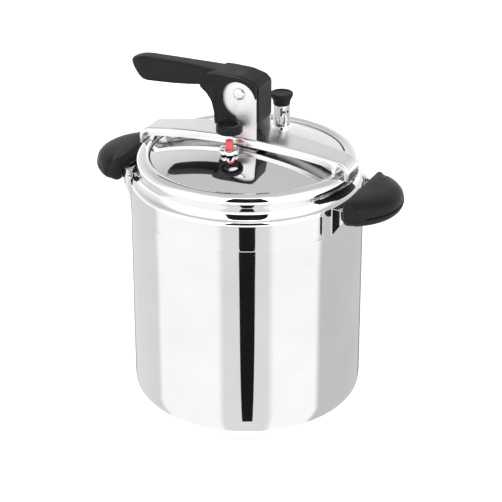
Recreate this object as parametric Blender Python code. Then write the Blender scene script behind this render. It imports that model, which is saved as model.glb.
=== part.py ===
"""Pressure canner with an under-rim lid, an arched crossbar and a cam lever.

Metres, +Z up. The pot's axis is Z and its base stands on z = 0. The crossbar, the lever
and the two side handles lie along X; the lever's grip points to -X and the front is -Y.
"""
import bpy
import bmesh
import math
from mathutils import Matrix, Vector

# ---- driving dimensions ----------------------------------------------------------------
GAP = 0.0003                 # clearance between pieces that touch
SEGMENTS = 56                # facets round the pot and everything that fits in its mouth
SMALL_SEGMENTS = 24          # facets round small turned pieces

BODY_RADIUS = 0.120
BODY_HEIGHT = 0.289          # base to the top of the rim
WALL = 0.0012
CORNER_RADIUS = 0.038        # bottom corner, outside
SHOULDER_RADIUS = 0.005
RIM_RADIUS = 0.0085          # outside radius of the rolled rim's section
RIM_INSET = 0.0145           # rim section's centre, in from the body's side
NECK_INSET = 0.007
NECK_DROP = 0.0165           # waist under the rim, down from the rim's top
SHOULDER_DROP = 0.024        # crease above the shoulder, down from the rim's top
RIM_END_ANGLE = 125.0        # where the roll stops, degrees from straight out

BASE_THICKNESS = 0.0028
BASE_RADIUS = 0.086
BASE_SKIN = 0.0007

LID_CROWN = 0.0125           # crown of the lid above the rim's top
LID_EDGE_RADIUS = 0.0985     # where the dome turns down inside the mouth
LID_EDGE_DROP = 0.002        # that edge, down from the rim's top
LID_WALL = 0.001
LID_STEP = 0.0065            # height of the step from the dome's edge to the flange
LID_FLANGE_RADIUS = 0.107

BAR_HALF_WIDTH = 0.020
BAR_END_HALF_WIDTH = 0.0145
BAR_WALL = 0.0015
BAR_BEND = 0.005             # outside radius between the bar's top and its flanges
BAR_FLANGE = 0.008
BAR_RISE = 0.023             # top of the bar above the rim's top, at the middle
BAR_ARCH_DROP = 0.010        # how far the arch falls before its end bend
BAR_END_BEND = 0.0125
BAR_OVERHANG = 0.0026        # inside of the bar's end clear of the rim
BAR_HOOK = 0.006             # how far the end hangs below the rim's top
BAR_FOOT_LENGTH = 0.007
BAR_LIP = 0.0008             # what is left of the flanges at the ends

EAR_THICKNESS = 0.0018
EAR_HALF_LENGTH = 0.0185
EAR_TOP_RADIUS = 0.019
PIVOT_ABOVE_BAR = 0.046
EAR_ROUND_BELOW_PIVOT = 0.0055
WEB_THICKNESS = 0.0018
PIVOT_RADIUS = 0.003
PIVOT_HEAD_RADIUS = 0.006
PIVOT_HEAD = 0.0018
BUSH_WALL = 0.0015
BRACKET_RIVET_RADIUS = 0.0025
BRACKET_RIVET_SPACING = 0.022
BACKING_RADIUS = 0.021
BACKING_THICKNESS = 0.0015

LEVER_LENGTH = 0.130         # pivot to the grip's tip
LEVER_TAIL = 0.0205          # pivot to the block's end face
GRIP_HALF_WIDTH = 0.0115
GRIP_HEIGHT = 0.024
LEVER_TOP = 0.019           # top of the grip above the pivot
LEVER_TRAVEL = 45.0          # degrees
LID_DROP = 0.007             # fall of the lid over that travel
PLATE_THICKNESS = 0.0034     # cheek of the lever in front of the front ear
WINDOW_RADIUS = 0.0188
RING_RADIUS = 0.0135
RING_HOLE = 0.0085
RING_HEIGHT = 0.009
RING_DROP = 0.036            # bottom of the ring, down from the pivot
RING_OVERLAP = 0.001         # how far the leg's foot runs into the ring
# Sections of the grip: back from its tip, underside up, top down, and share of its half width.
GRIP_STATIONS = (
    (0.000, 0.0070, 0.0150, 0.30),
    (0.004, 0.0035, 0.0105, 0.55),
    (0.010, 0.0015, 0.0055, 0.80),
    (0.017, -0.0005, 0.0015, 0.95),
    (0.030, -0.0010, 0.0, 1.0),
    (0.060, 0.0, 0.0, 1.0),
    (0.080, 0.0035, 0.0, 1.05),
    (0.094, 0.0040, 0.0003, 1.2),
    (0.110, 0.0030, 0.0025, 1.30),
)
GRIP_SQUARENESS = 0.55       # 1 is an ellipse, less is squarer
BLOCK_NOSE = 0.028           # front of the block's top, ahead of the pivot
BLOCK_WAIST = 0.024
BLOCK_WAIST_DROP = 0.012
BLOCK_TOE = 0.018
BLOCK_TOE_DROP = 0.034
BLOCK_HEEL_DROP = 0.028
BLOCK_HEEL_CHAMFER = 0.0025
BLOCK_STEP = 0.0005          # block's top below the grip's
CHEEK_BROW = 0.030           # where the cheek leaves the block's roof, ahead of the pivot
CHEEK_NOSE = 0.046
CHEEK_CHIN = 0.002
LEG_FRONT = ((-0.036, -0.004), (-0.0295, -0.012), (-0.0262, -0.022))   # about the pivot
LEG_FOOT = 0.0255

INDICATOR_X = -0.004
INDICATOR_Y = -0.033
PIN_RADIUS = 0.004
PIN_STEM = 0.0015
PIN_ABOVE_LID = 0.0135
PIN_TRAVEL = 0.0105
INDICATOR_NUT_RADIUS = 0.011
INDICATOR_NUT_HEIGHT = 0.005
FITTING_WALL = 0.0016
FITTING_CHAMFER = 0.001
HOUSING_FLANGE_DROP = 0.0045 # top of the flange under the lid
HOUSING_FLANGE = 0.002
HOUSING_FLOOR_DROP = 0.010
HOUSING_FLOOR = 0.0025
PIN_CHAMFER = 0.0006
PIN_COLLAR = 0.0015
PIN_COLLAR_LIP = 0.0022
SPRING_SPARE = 0.004         # spring left when the pin is right up
SPRING_WIRE = 0.0006
SPRING_TURNS = 5
SPRING_SIDES = 6
SPRING_STEPS = 12

REGULATOR_X = 0.019
REGULATOR_Y = 0.0425
REGULATOR_RADIUS = 0.0085
REGULATOR_WALL = 0.0012
REGULATOR_HEIGHT = 0.031
REGULATOR_FOOT_RADIUS = 0.0095
NOZZLE_RADIUS = 0.004
NOZZLE_HEIGHT = 0.017
NOZZLE_BORE = 0.0012
NOZZLE_NECK = 0.7            # share of the nozzle's radius above its foot
NOZZLE_TIP_WALL = 0.0008
NOZZLE_TAPER = 0.005
NOZZLE_FOOT = 0.0035
NOZZLE_THREAD = 0.009        # below the lid
REGULATOR_SEAL_RADIUS = 0.0078
REGULATOR_SEAL_DROP = 0.0035
REGULATOR_NUT_RADIUS = 0.0085
REGULATOR_NUT_HEIGHT = 0.0038
WEIGHT_WAIST = 0.6           # share of the weight's radius above its skirt
WEIGHT_SHOULDER = 0.004      # above the nozzle's tip
WEIGHT_SKIRT = 0.006         # below the nozzle's tip
STEAM_HOLE_DROP = 0.006
STEAM_HOLE_TURN = 20         # degrees from straight along the bar
STEAM_HOLE_RADIUS = 0.0013
KNOB_RADIUS = 0.0118
KNOB_NECK_RADIUS = 0.0085
KNOB_HEIGHT = 0.012
KNOB_EDGE = 0.0018
KNOB_CROWN = 0.0006
KNOB_NECK_HEIGHT = 0.003

HANDLE_HALF_WIDTH = 0.049
HANDLE_ARC_RADIUS = 0.057
HANDLE_ARC_INSET = 0.008     # centre of the outer arc, in from the body's side
HANDLE_TOP = 0.274
HANDLE_THICKNESS = 0.024
HANDLE_EDGE = 0.0075
STRAP_THICKNESS = 0.0015
STRAP_STANDOFF = 0.0022      # pot's side to the strap
STRAP_PAD_HEIGHT = 0.030
STRAP_PAD_ANGLE = 3.0        # half the pad, degrees round the pot
STRAP_WEB_HEIGHT = 0.012
STRAP_PAD_RISE = 0.003       # top of the pads above the web
CUT_PAST = 0.01              # how far a cutter runs past the surface
TAB_LENGTH = 0.022
TAB_HALF_WIDTH = 0.015
SCREW_RADIUS = 0.002
SCREW_HEAD_RADIUS = 0.0036
SCREW_HEAD = 0.002
SCREW_LENGTH = 0.014
SCREW_SPACING = 0.018

# ---- places worked out from them -------------------------------------------------------
RIM_TOP = BODY_HEIGHT
RIM_CENTRE = (BODY_RADIUS - RIM_INSET, RIM_TOP - RIM_RADIUS)
BAR_TOP = RIM_TOP + BAR_RISE
PIVOT_Z = BAR_TOP + PIVOT_ABOVE_BAR
EAR_OUT = BAR_HALF_WIDTH - BAR_WALL - GAP
EAR_IN = EAR_OUT - EAR_THICKNESS
BLOCK_HALF = EAR_IN - GAP
CROWN_Z = RIM_TOP + LID_CROWN
LID_SAG = LID_CROWN + LID_EDGE_DROP
DOME_RADIUS = (LID_EDGE_RADIUS ** 2 + LID_SAG ** 2) / (2 * LID_SAG)
CAM_SLOPE = LID_DROP / math.radians(LEVER_TRAVEL)
BAR_END_X = BODY_RADIUS - RIM_INSET + RIM_RADIUS + BAR_OVERHANG + BAR_WALL


# ---- helpers -----------------------------------------------------------------------------
def clear_scene():
    for item in list(bpy.data.objects):
        bpy.data.objects.remove(item, do_unlink=True)


def material(name, colour, roughness, metallic):
    mat = bpy.data.materials.new(name)
    mat.use_nodes = True
    shader = mat.node_tree.nodes["Principled BSDF"]
    shader.inputs["Base Color"].default_value = (*colour, 1.0)
    shader.inputs["Roughness"].default_value = roughness
    shader.inputs["Metallic"].default_value = metallic
    mat.diffuse_color = (*colour, 1.0)
    return mat


def finish(name, bm, mat, smooth_angle=35.0):
    """Make an object of a bmesh whose faces all point outward."""
    bmesh.ops.remove_doubles(bm, verts=bm.verts, dist=1e-6)
    bmesh.ops.recalc_face_normals(bm, faces=bm.faces)
    mesh = bpy.data.meshes.new(name)
    bm.to_mesh(mesh)
    bm.free()
    mesh.materials.append(mat)
    mesh.shade_smooth()
    mesh.set_sharp_from_angle(angle=math.radians(smooth_angle))
    thing = bpy.data.objects.new(name, mesh)
    bpy.context.collection.objects.link(thing)
    return thing


def arc(cx, cy, radius, start, end, steps):
    """Points on an arc, angles in degrees."""
    points = []
    for i in range(steps + 1):
        a = math.radians(start + (end - start) * i / steps)
        points.append((cx + radius * math.cos(a), cy + radius * math.sin(a)))
    return points


def turned_mesh(section, segments, x=0.0, y=0.0):
    """Spin a closed section of (radius, z) points about the vertical line through x, y."""
    bm = bmesh.new()
    verts = [bm.verts.new((x + r, y, z)) for r, z in section]
    edges = [bm.edges.new((a, b)) for a, b in zip(verts, verts[1:])]
    if section[0][0] > 0 or section[-1][0] > 0:
        edges.append(bm.edges.new((verts[-1], verts[0])))
    bmesh.ops.spin(bm, geom=verts + edges, cent=(x, y, 0), axis=(0, 0, 1),
                   angle=2 * math.pi, steps=segments, use_merge=True)
    bmesh.ops.remove_doubles(bm, verts=bm.verts, dist=1e-6)
    loose = [e for e in bm.edges if len(e.link_faces) == 0]
    bmesh.ops.delete(bm, geom=loose, context="EDGES")
    return bm


def turned(name, section, mat, x=0.0, y=0.0, segments=SMALL_SEGMENTS):
    return finish(name, turned_mesh(section, segments, x, y), mat)


def tube_section(inner, outer, low, high):
    return [(inner, high), (outer, high), (outer, low), (inner, low)]


def rod_section(radius, low, high):
    return [(0, high), (radius, high), (radius, low), (0, low)]


def prism_mesh(outline, low, high, plane="XY"):
    """Extrude a closed outline. XY is lifted along Z, XZ is drawn along Y."""
    bm = bmesh.new()
    if plane == "XY":
        verts = [bm.verts.new((a, b, low)) for a, b in outline]
        step = Vector((0, 0, high - low))
    else:
        verts = [bm.verts.new((a, low, b)) for a, b in outline]
        step = Vector((0, high - low, 0))
    face = bm.faces.new(verts)
    grown = bmesh.ops.extrude_face_region(bm, geom=[face], use_keep_orig=True)
    moved = [v for v in grown["geom"] if isinstance(v, bmesh.types.BMVert)]
    bmesh.ops.translate(bm, verts=moved, vec=step)
    return bm


def prism(name, outline, low, high, mat, plane="XY"):
    return finish(name, prism_mesh(outline, low, high, plane), mat)


def box(name, low, high, mat):
    outline = [(low[0], low[1]), (high[0], low[1]), (high[0], high[1]), (low[0], high[1])]
    return prism(name, outline, low[2], high[2], mat)


def loft(name, rings, mat):
    """Skin a row of closed rings that have the same number of points, with capped ends."""
    bm = bmesh.new()
    rows = [[bm.verts.new(p) for p in ring] for ring in rings]
    count = len(rows[0])
    for a, b in zip(rows, rows[1:]):
        for i in range(count):
            j = (i + 1) % count
            bm.faces.new((a[i], a[j], b[j], b[i]))
    bm.faces.new(rows[0])
    bm.faces.new(rows[-1])
    return finish(name, bm, mat)


def as_cutter(thing):
    thing.hide_render = True
    thing.display_type = "WIRE"
    return thing


def combine(target, other, operation):
    """Boolean of two objects; the second one becomes a guide that isn't a node."""
    as_cutter(other)
    mod = target.modifiers.new(operation.lower() + "_" + other.name, "BOOLEAN")
    mod.object = other
    mod.operation = operation
    mod.solver = "EXACT"
    return target


def cut_hole(target, name, x, y, low, high, radius, segments=16):
    hole = turned(name, rod_section(radius, low, high), target.data.materials[0], x, y, segments)
    return combine(target, hole, "DIFFERENCE")


def bevel(thing, width, segments, angle=30.0):
    mod = thing.modifiers.new("edges", "BEVEL")
    mod.width = width
    mod.segments = segments
    mod.limit_method = "ANGLE"
    mod.angle_limit = math.radians(angle)


def ring_on_dome(thing, level, offset):
    """Shape the vertices at one level to the lid's dome, so that a fitting seats on it."""
    for v in thing.data.vertices:
        if abs(v.co.z - level) < 1e-5:
            v.co.z = dome_z(math.hypot(v.co.x, v.co.y)) + offset


def dome_z(radius):
    """Top of the lid at a radius from the pot's axis."""
    return CROWN_Z - DOME_RADIUS + math.sqrt(DOME_RADIUS ** 2 - radius ** 2)


# ---- pot -----------------------------------------------------------------------------------
def pot_outside():
    """Outer line of the pot, from the middle of its floor to the end of the rolled rim."""
    floor = BASE_THICKNESS + GAP
    corner = arc(BODY_RADIUS - CORNER_RADIUS, floor + CORNER_RADIUS, CORNER_RADIUS, -90, 0, 6)
    top = RIM_TOP - SHOULDER_DROP
    shoulder = arc(BODY_RADIUS - SHOULDER_RADIUS, top - SHOULDER_RADIUS, SHOULDER_RADIUS, 0, 75, 2)
    neck = [(BODY_RADIUS - NECK_INSET, RIM_TOP - NECK_DROP)]
    rim = arc(RIM_CENTRE[0], RIM_CENTRE[1], RIM_RADIUS, -20, RIM_END_ANGLE, 7)
    return [(0, floor)] + corner + shoulder + neck + rim


def offset_line(points, distance):
    """The same line moved to its left by a distance."""
    moved = []
    for i, point in enumerate(points):
        before = Vector(points[max(i - 1, 0)])
        after = Vector(points[min(i + 1, len(points) - 1)])
        along = (after - before).normalized()
        moved.append((point[0] - along.y * distance, point[1] + along.x * distance))
    moved[0] = (0, moved[0][1])
    return moved


def make_pot(steel, aluminium):
    outside = pot_outside()
    inside = offset_line(outside, WALL)
    turned("pot_body", outside + inside[::-1], steel, segments=SEGMENTS)
    core_radius = BASE_RADIUS - BASE_SKIN - GAP
    core = rod_section(core_radius, BASE_SKIN + GAP, BASE_THICKNESS - GAP)
    turned("base_core", core, aluminium, segments=SEGMENTS)
    cap = [(0, BASE_SKIN), (BASE_RADIUS - BASE_SKIN, BASE_SKIN)]
    cap += [(BASE_RADIUS - BASE_SKIN, BASE_THICKNESS), (BASE_RADIUS, BASE_THICKNESS)]
    cap += arc(BASE_RADIUS - BASE_SKIN, BASE_SKIN, BASE_SKIN, 0, -90, 2)
    cap += [(0, 0)]
    turned("base_cap", cap, steel, segments=SEGMENTS)


# ---- lid -----------------------------------------------------------------------------------
def lid_outside():
    edge_z = dome_z(LID_EDGE_RADIUS)
    dome = [(LID_EDGE_RADIUS * i / 6, dome_z(LID_EDGE_RADIUS * i / 6)) for i in range(7)]
    flange_z = edge_z - LID_STEP
    step = [(LID_EDGE_RADIUS + LID_WALL * 0.8, edge_z - LID_WALL)]
    step += [(LID_EDGE_RADIUS + LID_WALL, flange_z + LID_WALL), (LID_EDGE_RADIUS + 2 * LID_WALL, flange_z)]
    return dome + step + [(LID_FLANGE_RADIUS, flange_z)]


def make_lid(steel, rubber):
    outside = lid_outside()
    inside = offset_line(outside, -LID_WALL)
    lid = turned("lid_disc", outside + inside[::-1], steel, segments=SEGMENTS)
    deep = CROWN_Z - 3 * CUT_PAST
    cut_hole(lid, "hole_indicator", INDICATOR_X, INDICATOR_Y, deep, CROWN_Z, fitting_hole(PIN_RADIUS))
    cut_hole(lid, "hole_regulator", REGULATOR_X, REGULATOR_Y, deep, CROWN_Z, NOZZLE_RADIUS + GAP)
    for side in (-1, 1):
        cut_hole(lid, "hole_rivet%+d" % side, side * BRACKET_RIVET_SPACING / 2, 0, deep,
                 CROWN_Z + LID_WALL, BRACKET_RIVET_RADIUS + GAP)
    flange_z = outside[-1][1] + GAP
    radius = RIM_RADIUS - WALL - 2 * GAP
    seal = arc(RIM_CENTRE[0], RIM_CENTRE[1], radius, 20, RIM_END_ANGLE, 4)
    outer = seal[0][0]
    inner = LID_EDGE_RADIUS + 2 * LID_WALL + GAP
    seal = [(max(r, inner), z) for r, z in seal]
    section = seal + [(inner, flange_z), (outer, flange_z)]
    turned("lid_gasket", section[::-1], rubber, segments=SEGMENTS)


# ---- crossbar ------------------------------------------------------------------------------
def bar_stations():
    """Points of the bar's top line for x >= 0 as (x, z, slope in radians)."""
    arch_end = BAR_END_X - BAR_END_BEND
    steps = 9
    stations = []
    for i in range(steps + 1):
        x = arch_end * i / steps
        z = BAR_TOP - BAR_ARCH_DROP * (x / arch_end) ** 2
        stations.append((x, z, math.atan(2 * BAR_ARCH_DROP * x / arch_end ** 2)))
    start = stations[-1][2]
    centre = (arch_end - BAR_END_BEND * math.sin(start),
              BAR_TOP - BAR_ARCH_DROP - BAR_END_BEND * math.cos(start))
    reach = BAR_END_X - centre[0]
    bend_steps = 4
    for i in range(1, bend_steps + 1):
        turn = start + (math.pi / 2 - start) * i / bend_steps
        x = centre[0] + reach * math.sin(turn)
        z = centre[1] + BAR_END_BEND * math.cos(turn)
        stations.append((x, z, turn))
    stations.append((BAR_END_X, RIM_TOP - BAR_HOOK, math.pi / 2))
    return stations


def bar_flange(x, z):
    """Depth of the flange at x: it has a foot on the rim and fades out in the end bend."""
    foot_mid = RIM_CENTRE[0]
    foot_depth = z - RIM_TOP - GAP
    if abs(x - foot_mid) <= BAR_FOOT_LENGTH / 2:
        return foot_depth
    if x > foot_mid:
        left = (BAR_END_X - x) / (BAR_END_X - foot_mid)
        return BAR_WALL + BAR_LIP + left * BAR_BEND
    ramp = (x - (foot_mid - 2 * BAR_FOOT_LENGTH)) / (1.5 * BAR_FOOT_LENGTH)
    return BAR_FLANGE + (foot_depth - BAR_FLANGE) * min(max(ramp, 0.0), 1.0)


def bar_half_width(x):
    taper = max(x - 2 * EAR_HALF_LENGTH, 0.0) / (BAR_END_X - 2 * EAR_HALF_LENGTH)
    return BAR_HALF_WIDTH + (BAR_END_HALF_WIDTH - BAR_HALF_WIDTH) * taper


def bar_ring(station, side):
    """Closed channel section, square to the bar's top line."""
    x, z, slope = station
    half = bar_half_width(x)
    depth = bar_flange(x, z)
    bend = min(BAR_BEND, depth - BAR_LIP / 2)
    outer = [(-half, -depth)] + arc(-half + bend, -bend, bend, 180, 90, 3)
    outer += arc(half - bend, -bend, bend, 90, 0, 3) + [(half, -depth)]
    inside = bend - BAR_WALL
    inner = [(half - BAR_WALL, -depth)] + arc(half - bend, -bend, inside, 0, 90, 3)
    inner += arc(-half + bend, -bend, inside, 90, 180, 3) + [(-half + BAR_WALL, -depth)]
    ring = []
    for across, up in outer + inner:
        ring.append((side * (x + up * math.sin(slope)), across, z + up * math.cos(slope)))
    return ring


def foot_stations(stations):
    """Add stations at both ends of the foot, so that its corners are square."""
    middle = RIM_CENTRE[0]
    extra = []
    for offset in (-2.0 * BAR_FOOT_LENGTH, -0.5 * BAR_FOOT_LENGTH, 0.5 * BAR_FOOT_LENGTH,
                   0.5 * BAR_FOOT_LENGTH + 0.0005):
        x = middle + offset
        for a, b in zip(stations, stations[1:]):
            if a[0] < x < b[0]:
                share = (x - a[0]) / (b[0] - a[0])
                extra.append(tuple(p + (q - p) * share for p, q in zip(a, b)))
    return sorted(stations + extra, key=lambda s: (s[0], -s[1]))


def make_crossbar(steel):
    stations = foot_stations(bar_stations())
    rings = [bar_ring(s, -1) for s in stations[:0:-1]] + [bar_ring(s, 1) for s in stations]
    bar = loft("crossbar", rings, steel)
    for side in (-1, 1):
        low = min(side * BLOCK_HALF, side * (EAR_OUT + GAP))
        high = max(side * BLOCK_HALF, side * (EAR_OUT + GAP))
        reach = EAR_HALF_LENGTH + 2 * GAP
        bottom = BAR_TOP - 2 * BAR_FLANGE
        slot = box("slot%+d" % side, (-reach, low, bottom), (reach, high, BAR_TOP + CUT_PAST), steel)
        combine(bar, slot, "DIFFERENCE")


# ---- lever bracket and pivot ---------------------------------------------------------------
def ear_outline(foot):
    centre = PIVOT_Z - EAR_ROUND_BELOW_PIVOT
    reach = math.degrees(math.acos(EAR_HALF_LENGTH / EAR_TOP_RADIUS))
    top = arc(0, centre, EAR_TOP_RADIUS, reach, 180 - reach, 14)
    return [(-EAR_HALF_LENGTH, foot), (EAR_HALF_LENGTH, foot)] + top


def y_rod(name, radius, low, high, mat, segments=16):
    """Rod along Y through the pivot."""
    rod = prism(name, arc(0, 0, radius, 0, 360 - 360 / segments, segments - 1), low, high, mat, "XZ")
    rod.location.z = PIVOT_Z
    return rod


def make_bracket(steel):
    foot = CROWN_Z + GAP
    bracket = box("lever_bracket", (-EAR_HALF_LENGTH, -EAR_OUT, foot),
                  (EAR_HALF_LENGTH, EAR_OUT, foot + WEB_THICKNESS), steel)
    for side in (-1, 1):
        low = min(side * EAR_IN, side * EAR_OUT)
        ear = prism("ear%+d" % side, ear_outline(foot), low, low + EAR_THICKNESS, steel, "XZ")
        combine(bracket, ear, "UNION")
        cut_hole(bracket, "web_hole%+d" % side, side * BRACKET_RIVET_SPACING / 2, 0,
                 foot - CUT_PAST, foot + CUT_PAST, BRACKET_RIVET_RADIUS + GAP)
    holes = y_rod("ear_holes", PIVOT_RADIUS + GAP, -2 * EAR_OUT, 2 * EAR_OUT, steel)
    combine(bracket, holes, "DIFFERENCE")

    backing_top = dome_z(BACKING_RADIUS) - LID_WALL - GAP
    backing_low = backing_top - BACKING_THICKNESS
    backing = turned("lid_backing_plate", rod_section(BACKING_RADIUS, backing_low, backing_top), steel)
    head = BRACKET_RIVET_RADIUS * 1.8
    rise = BRACKET_RIVET_RADIUS * 0.7
    for number, side in enumerate((-1, 1), 1):
        x = side * BRACKET_RIVET_SPACING / 2
        cut_hole(backing, "backing_hole%+d" % side, x, 0, backing_low - CUT_PAST, backing_top + CUT_PAST,
                 BRACKET_RIVET_RADIUS + GAP)
        top = foot + WEB_THICKNESS + GAP
        low = backing_low - GAP
        section = [(0, top + rise), (head * 0.7, top + rise * 0.8), (head, top)]
        section += [(BRACKET_RIVET_RADIUS, top), (BRACKET_RIVET_RADIUS, low)]
        section += [(head, low), (head * 0.7, low - rise * 0.8), (0, low - rise)]
        turned("bracket_rivet_%d" % number, section, steel, x, 0, 16)

    rivet = y_rod("lever_pivot_rivet", PIVOT_RADIUS, -EAR_OUT - 2 * GAP, EAR_OUT + 2 * GAP, steel)
    for side in (-1, 1):
        low = min(side * (EAR_OUT + GAP), side * (EAR_OUT + GAP + PIVOT_HEAD))
        head = y_rod("pivot_head%+d" % side, PIVOT_HEAD_RADIUS, low, low + PIVOT_HEAD, steel)
        combine(rivet, head, "UNION")


# ---- lever ---------------------------------------------------------------------------------
def cam_line():
    """Bottom of the lever's block: the curve that a falling bar top would touch.

    Turning the lever by t lets the bar stand CAM_SLOPE * t closer to the pivot.
    """
    points = []
    steps = 5
    turn_end = math.radians(LEVER_TRAVEL) / 2
    for i in range(steps + 1):
        t = turn_end * i / steps
        height = PIVOT_ABOVE_BAR - GAP - CAM_SLOPE * t
        x = height * math.sin(t) - CAM_SLOPE * math.cos(t)
        z = -height * math.cos(t) - CAM_SLOPE * math.sin(t)
        points.append((x, z))
    return points


def block_outline():
    """Side view of the lever's block about the pivot, counter-clockwise from its end face."""
    line = [(-BLOCK_NOSE, LEVER_TOP - BLOCK_STEP), (-BLOCK_WAIST, -BLOCK_WAIST_DROP)]
    line += [(-BLOCK_TOE, -BLOCK_TOE_DROP)]
    line += cam_line()
    line += [(LEVER_TAIL - BLOCK_HEEL_CHAMFER, -BLOCK_HEEL_DROP - BLOCK_HEEL_CHAMFER)]
    line += [(LEVER_TAIL, -BLOCK_HEEL_DROP)]
    return line + roof_line()


def roof_line():
    """Top of the block and of the cheek, from the end face forward."""
    return [(LEVER_TAIL, LEVER_TOP * 0.42), (LEVER_TAIL * 0.8, LEVER_TOP * 0.62),
            (LEVER_TAIL * 0.4, LEVER_TOP * 0.85), (0.001, LEVER_TOP * 0.95)]


def grip_rings():
    """Rounded sections of the grip along x, as the lever lies closed."""
    low = LEVER_TOP - GRIP_HEIGHT
    count = 16
    rings = []
    for back, lift, sink, share in GRIP_STATIONS:
        x = back - LEVER_LENGTH
        bottom = low + lift
        top = LEVER_TOP - sink
        half = GRIP_HALF_WIDTH * share
        ring = []
        for i in range(count):
            a = 2 * math.pi * (i + 0.5) / count
            across = half * math.copysign(abs(math.cos(a)) ** GRIP_SQUARENESS, math.cos(a))
            up = math.copysign(abs(math.sin(a)) ** GRIP_SQUARENESS, math.sin(a))
            ring.append((x, across, (top + bottom) / 2 + up * (top - bottom) / 2))
        rings.append(ring)
    return rings


def cheek_outline():
    """Front cheek with its leg: it runs round the ear's window down to the ring."""
    middle = -EAR_ROUND_BELOW_PIVOT
    window = arc(0, middle, WINDOW_RADIUS, 10, 262, 14)
    ring_top = -RING_DROP + RING_HEIGHT
    outline = [(x - GAP, z - GAP) for x, z in roof_line()]
    outline += [(-CHEEK_BROW, LEVER_TOP * 0.93), (-CHEEK_NOSE, LEVER_TOP * 0.6)]
    outline += [(-CHEEK_NOSE, CHEEK_CHIN)]
    outline += list(LEG_FRONT)
    foot_z = -RING_DROP + RING_OVERLAP
    outline += [(-LEG_FOOT, foot_z), (INDICATOR_X - PIN_RADIUS, foot_z)]
    outline += [(INDICATOR_X + RING_OVERLAP, ring_top + RING_OVERLAP / 2)]
    return outline + window[::-1] + [(LEVER_TAIL - GAP, middle + WINDOW_RADIUS * 0.17)]


def ear_sweep():
    """Room for the front ear inside the lever, over the whole travel."""
    reach = math.radians(LEVER_TRAVEL)
    clear = EAR_TOP_RADIUS + GAP
    normal = Vector((math.cos(reach), math.sin(reach)))
    stem = Vector((math.sin(reach), -math.cos(reach)))
    last = stem * EAR_ROUND_BELOW_PIVOT
    meet = 90 + LEVER_TRAVEL / 2
    line = [tuple(normal * clear + stem * 0.05)]
    line += arc(last.x, last.y, clear, LEVER_TRAVEL, meet, 6)
    line += arc(0, -EAR_ROUND_BELOW_PIVOT, clear, meet, 180, 6)
    return line + [(-clear, -0.06), (0.05, -0.06)]


def make_lever(bakelite, steel):
    arm = prism("lever_arm", block_outline(), -BLOCK_HALF, BLOCK_HALF, bakelite, "XZ")
    arm.location.z = PIVOT_Z
    bush_outer = PIVOT_RADIUS + GAP + BUSH_WALL
    past = BLOCK_HALF + 2 * GAP
    combine(arm, y_rod("bush_hole", bush_outer + GAP, -past, past, bakelite), "DIFFERENCE")
    grip = loft("grip", grip_rings(), bakelite)
    front = -EAR_OUT - GAP - PLATE_THICKNESS
    cheek = prism("cheek", cheek_outline(), front, -BLOCK_HALF + RING_OVERLAP, bakelite, "XZ")
    ring_low = -RING_DROP
    ring = turned("interlock_ring", rod_section(RING_RADIUS, ring_low, ring_low + RING_HEIGHT),
                  bakelite, INDICATOR_X, INDICATOR_Y)
    sweep = prism("ear_room", ear_sweep(), -EAR_OUT - GAP, -BLOCK_HALF + GAP, bakelite, "XZ")
    hole = turned("ring_hole", rod_section(RING_HOLE, ring_low - 0.002, ring_low + RING_HEIGHT + 0.03),
                  bakelite, INDICATOR_X, INDICATOR_Y)
    for guide in (grip, cheek, ring):
        guide.location.z = PIVOT_Z
        combine(arm, guide, "UNION")
    for guide in (sweep, hole):
        guide.location.z = PIVOT_Z
        combine(arm, guide, "DIFFERENCE")
    bush = y_rod("lever_bush", bush_outer, -BLOCK_HALF, BLOCK_HALF, steel)
    bore = y_rod("bush_bore", PIVOT_RADIUS + GAP, -2 * BLOCK_HALF, 2 * BLOCK_HALF, steel)
    combine(bush, bore, "DIFFERENCE")


# ---- pressure indicator --------------------------------------------------------------------
def fitting_hole(radius):
    """Hole in the lid for a fitting that has a bore of this radius."""
    return radius + GAP + FITTING_WALL + GAP


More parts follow.
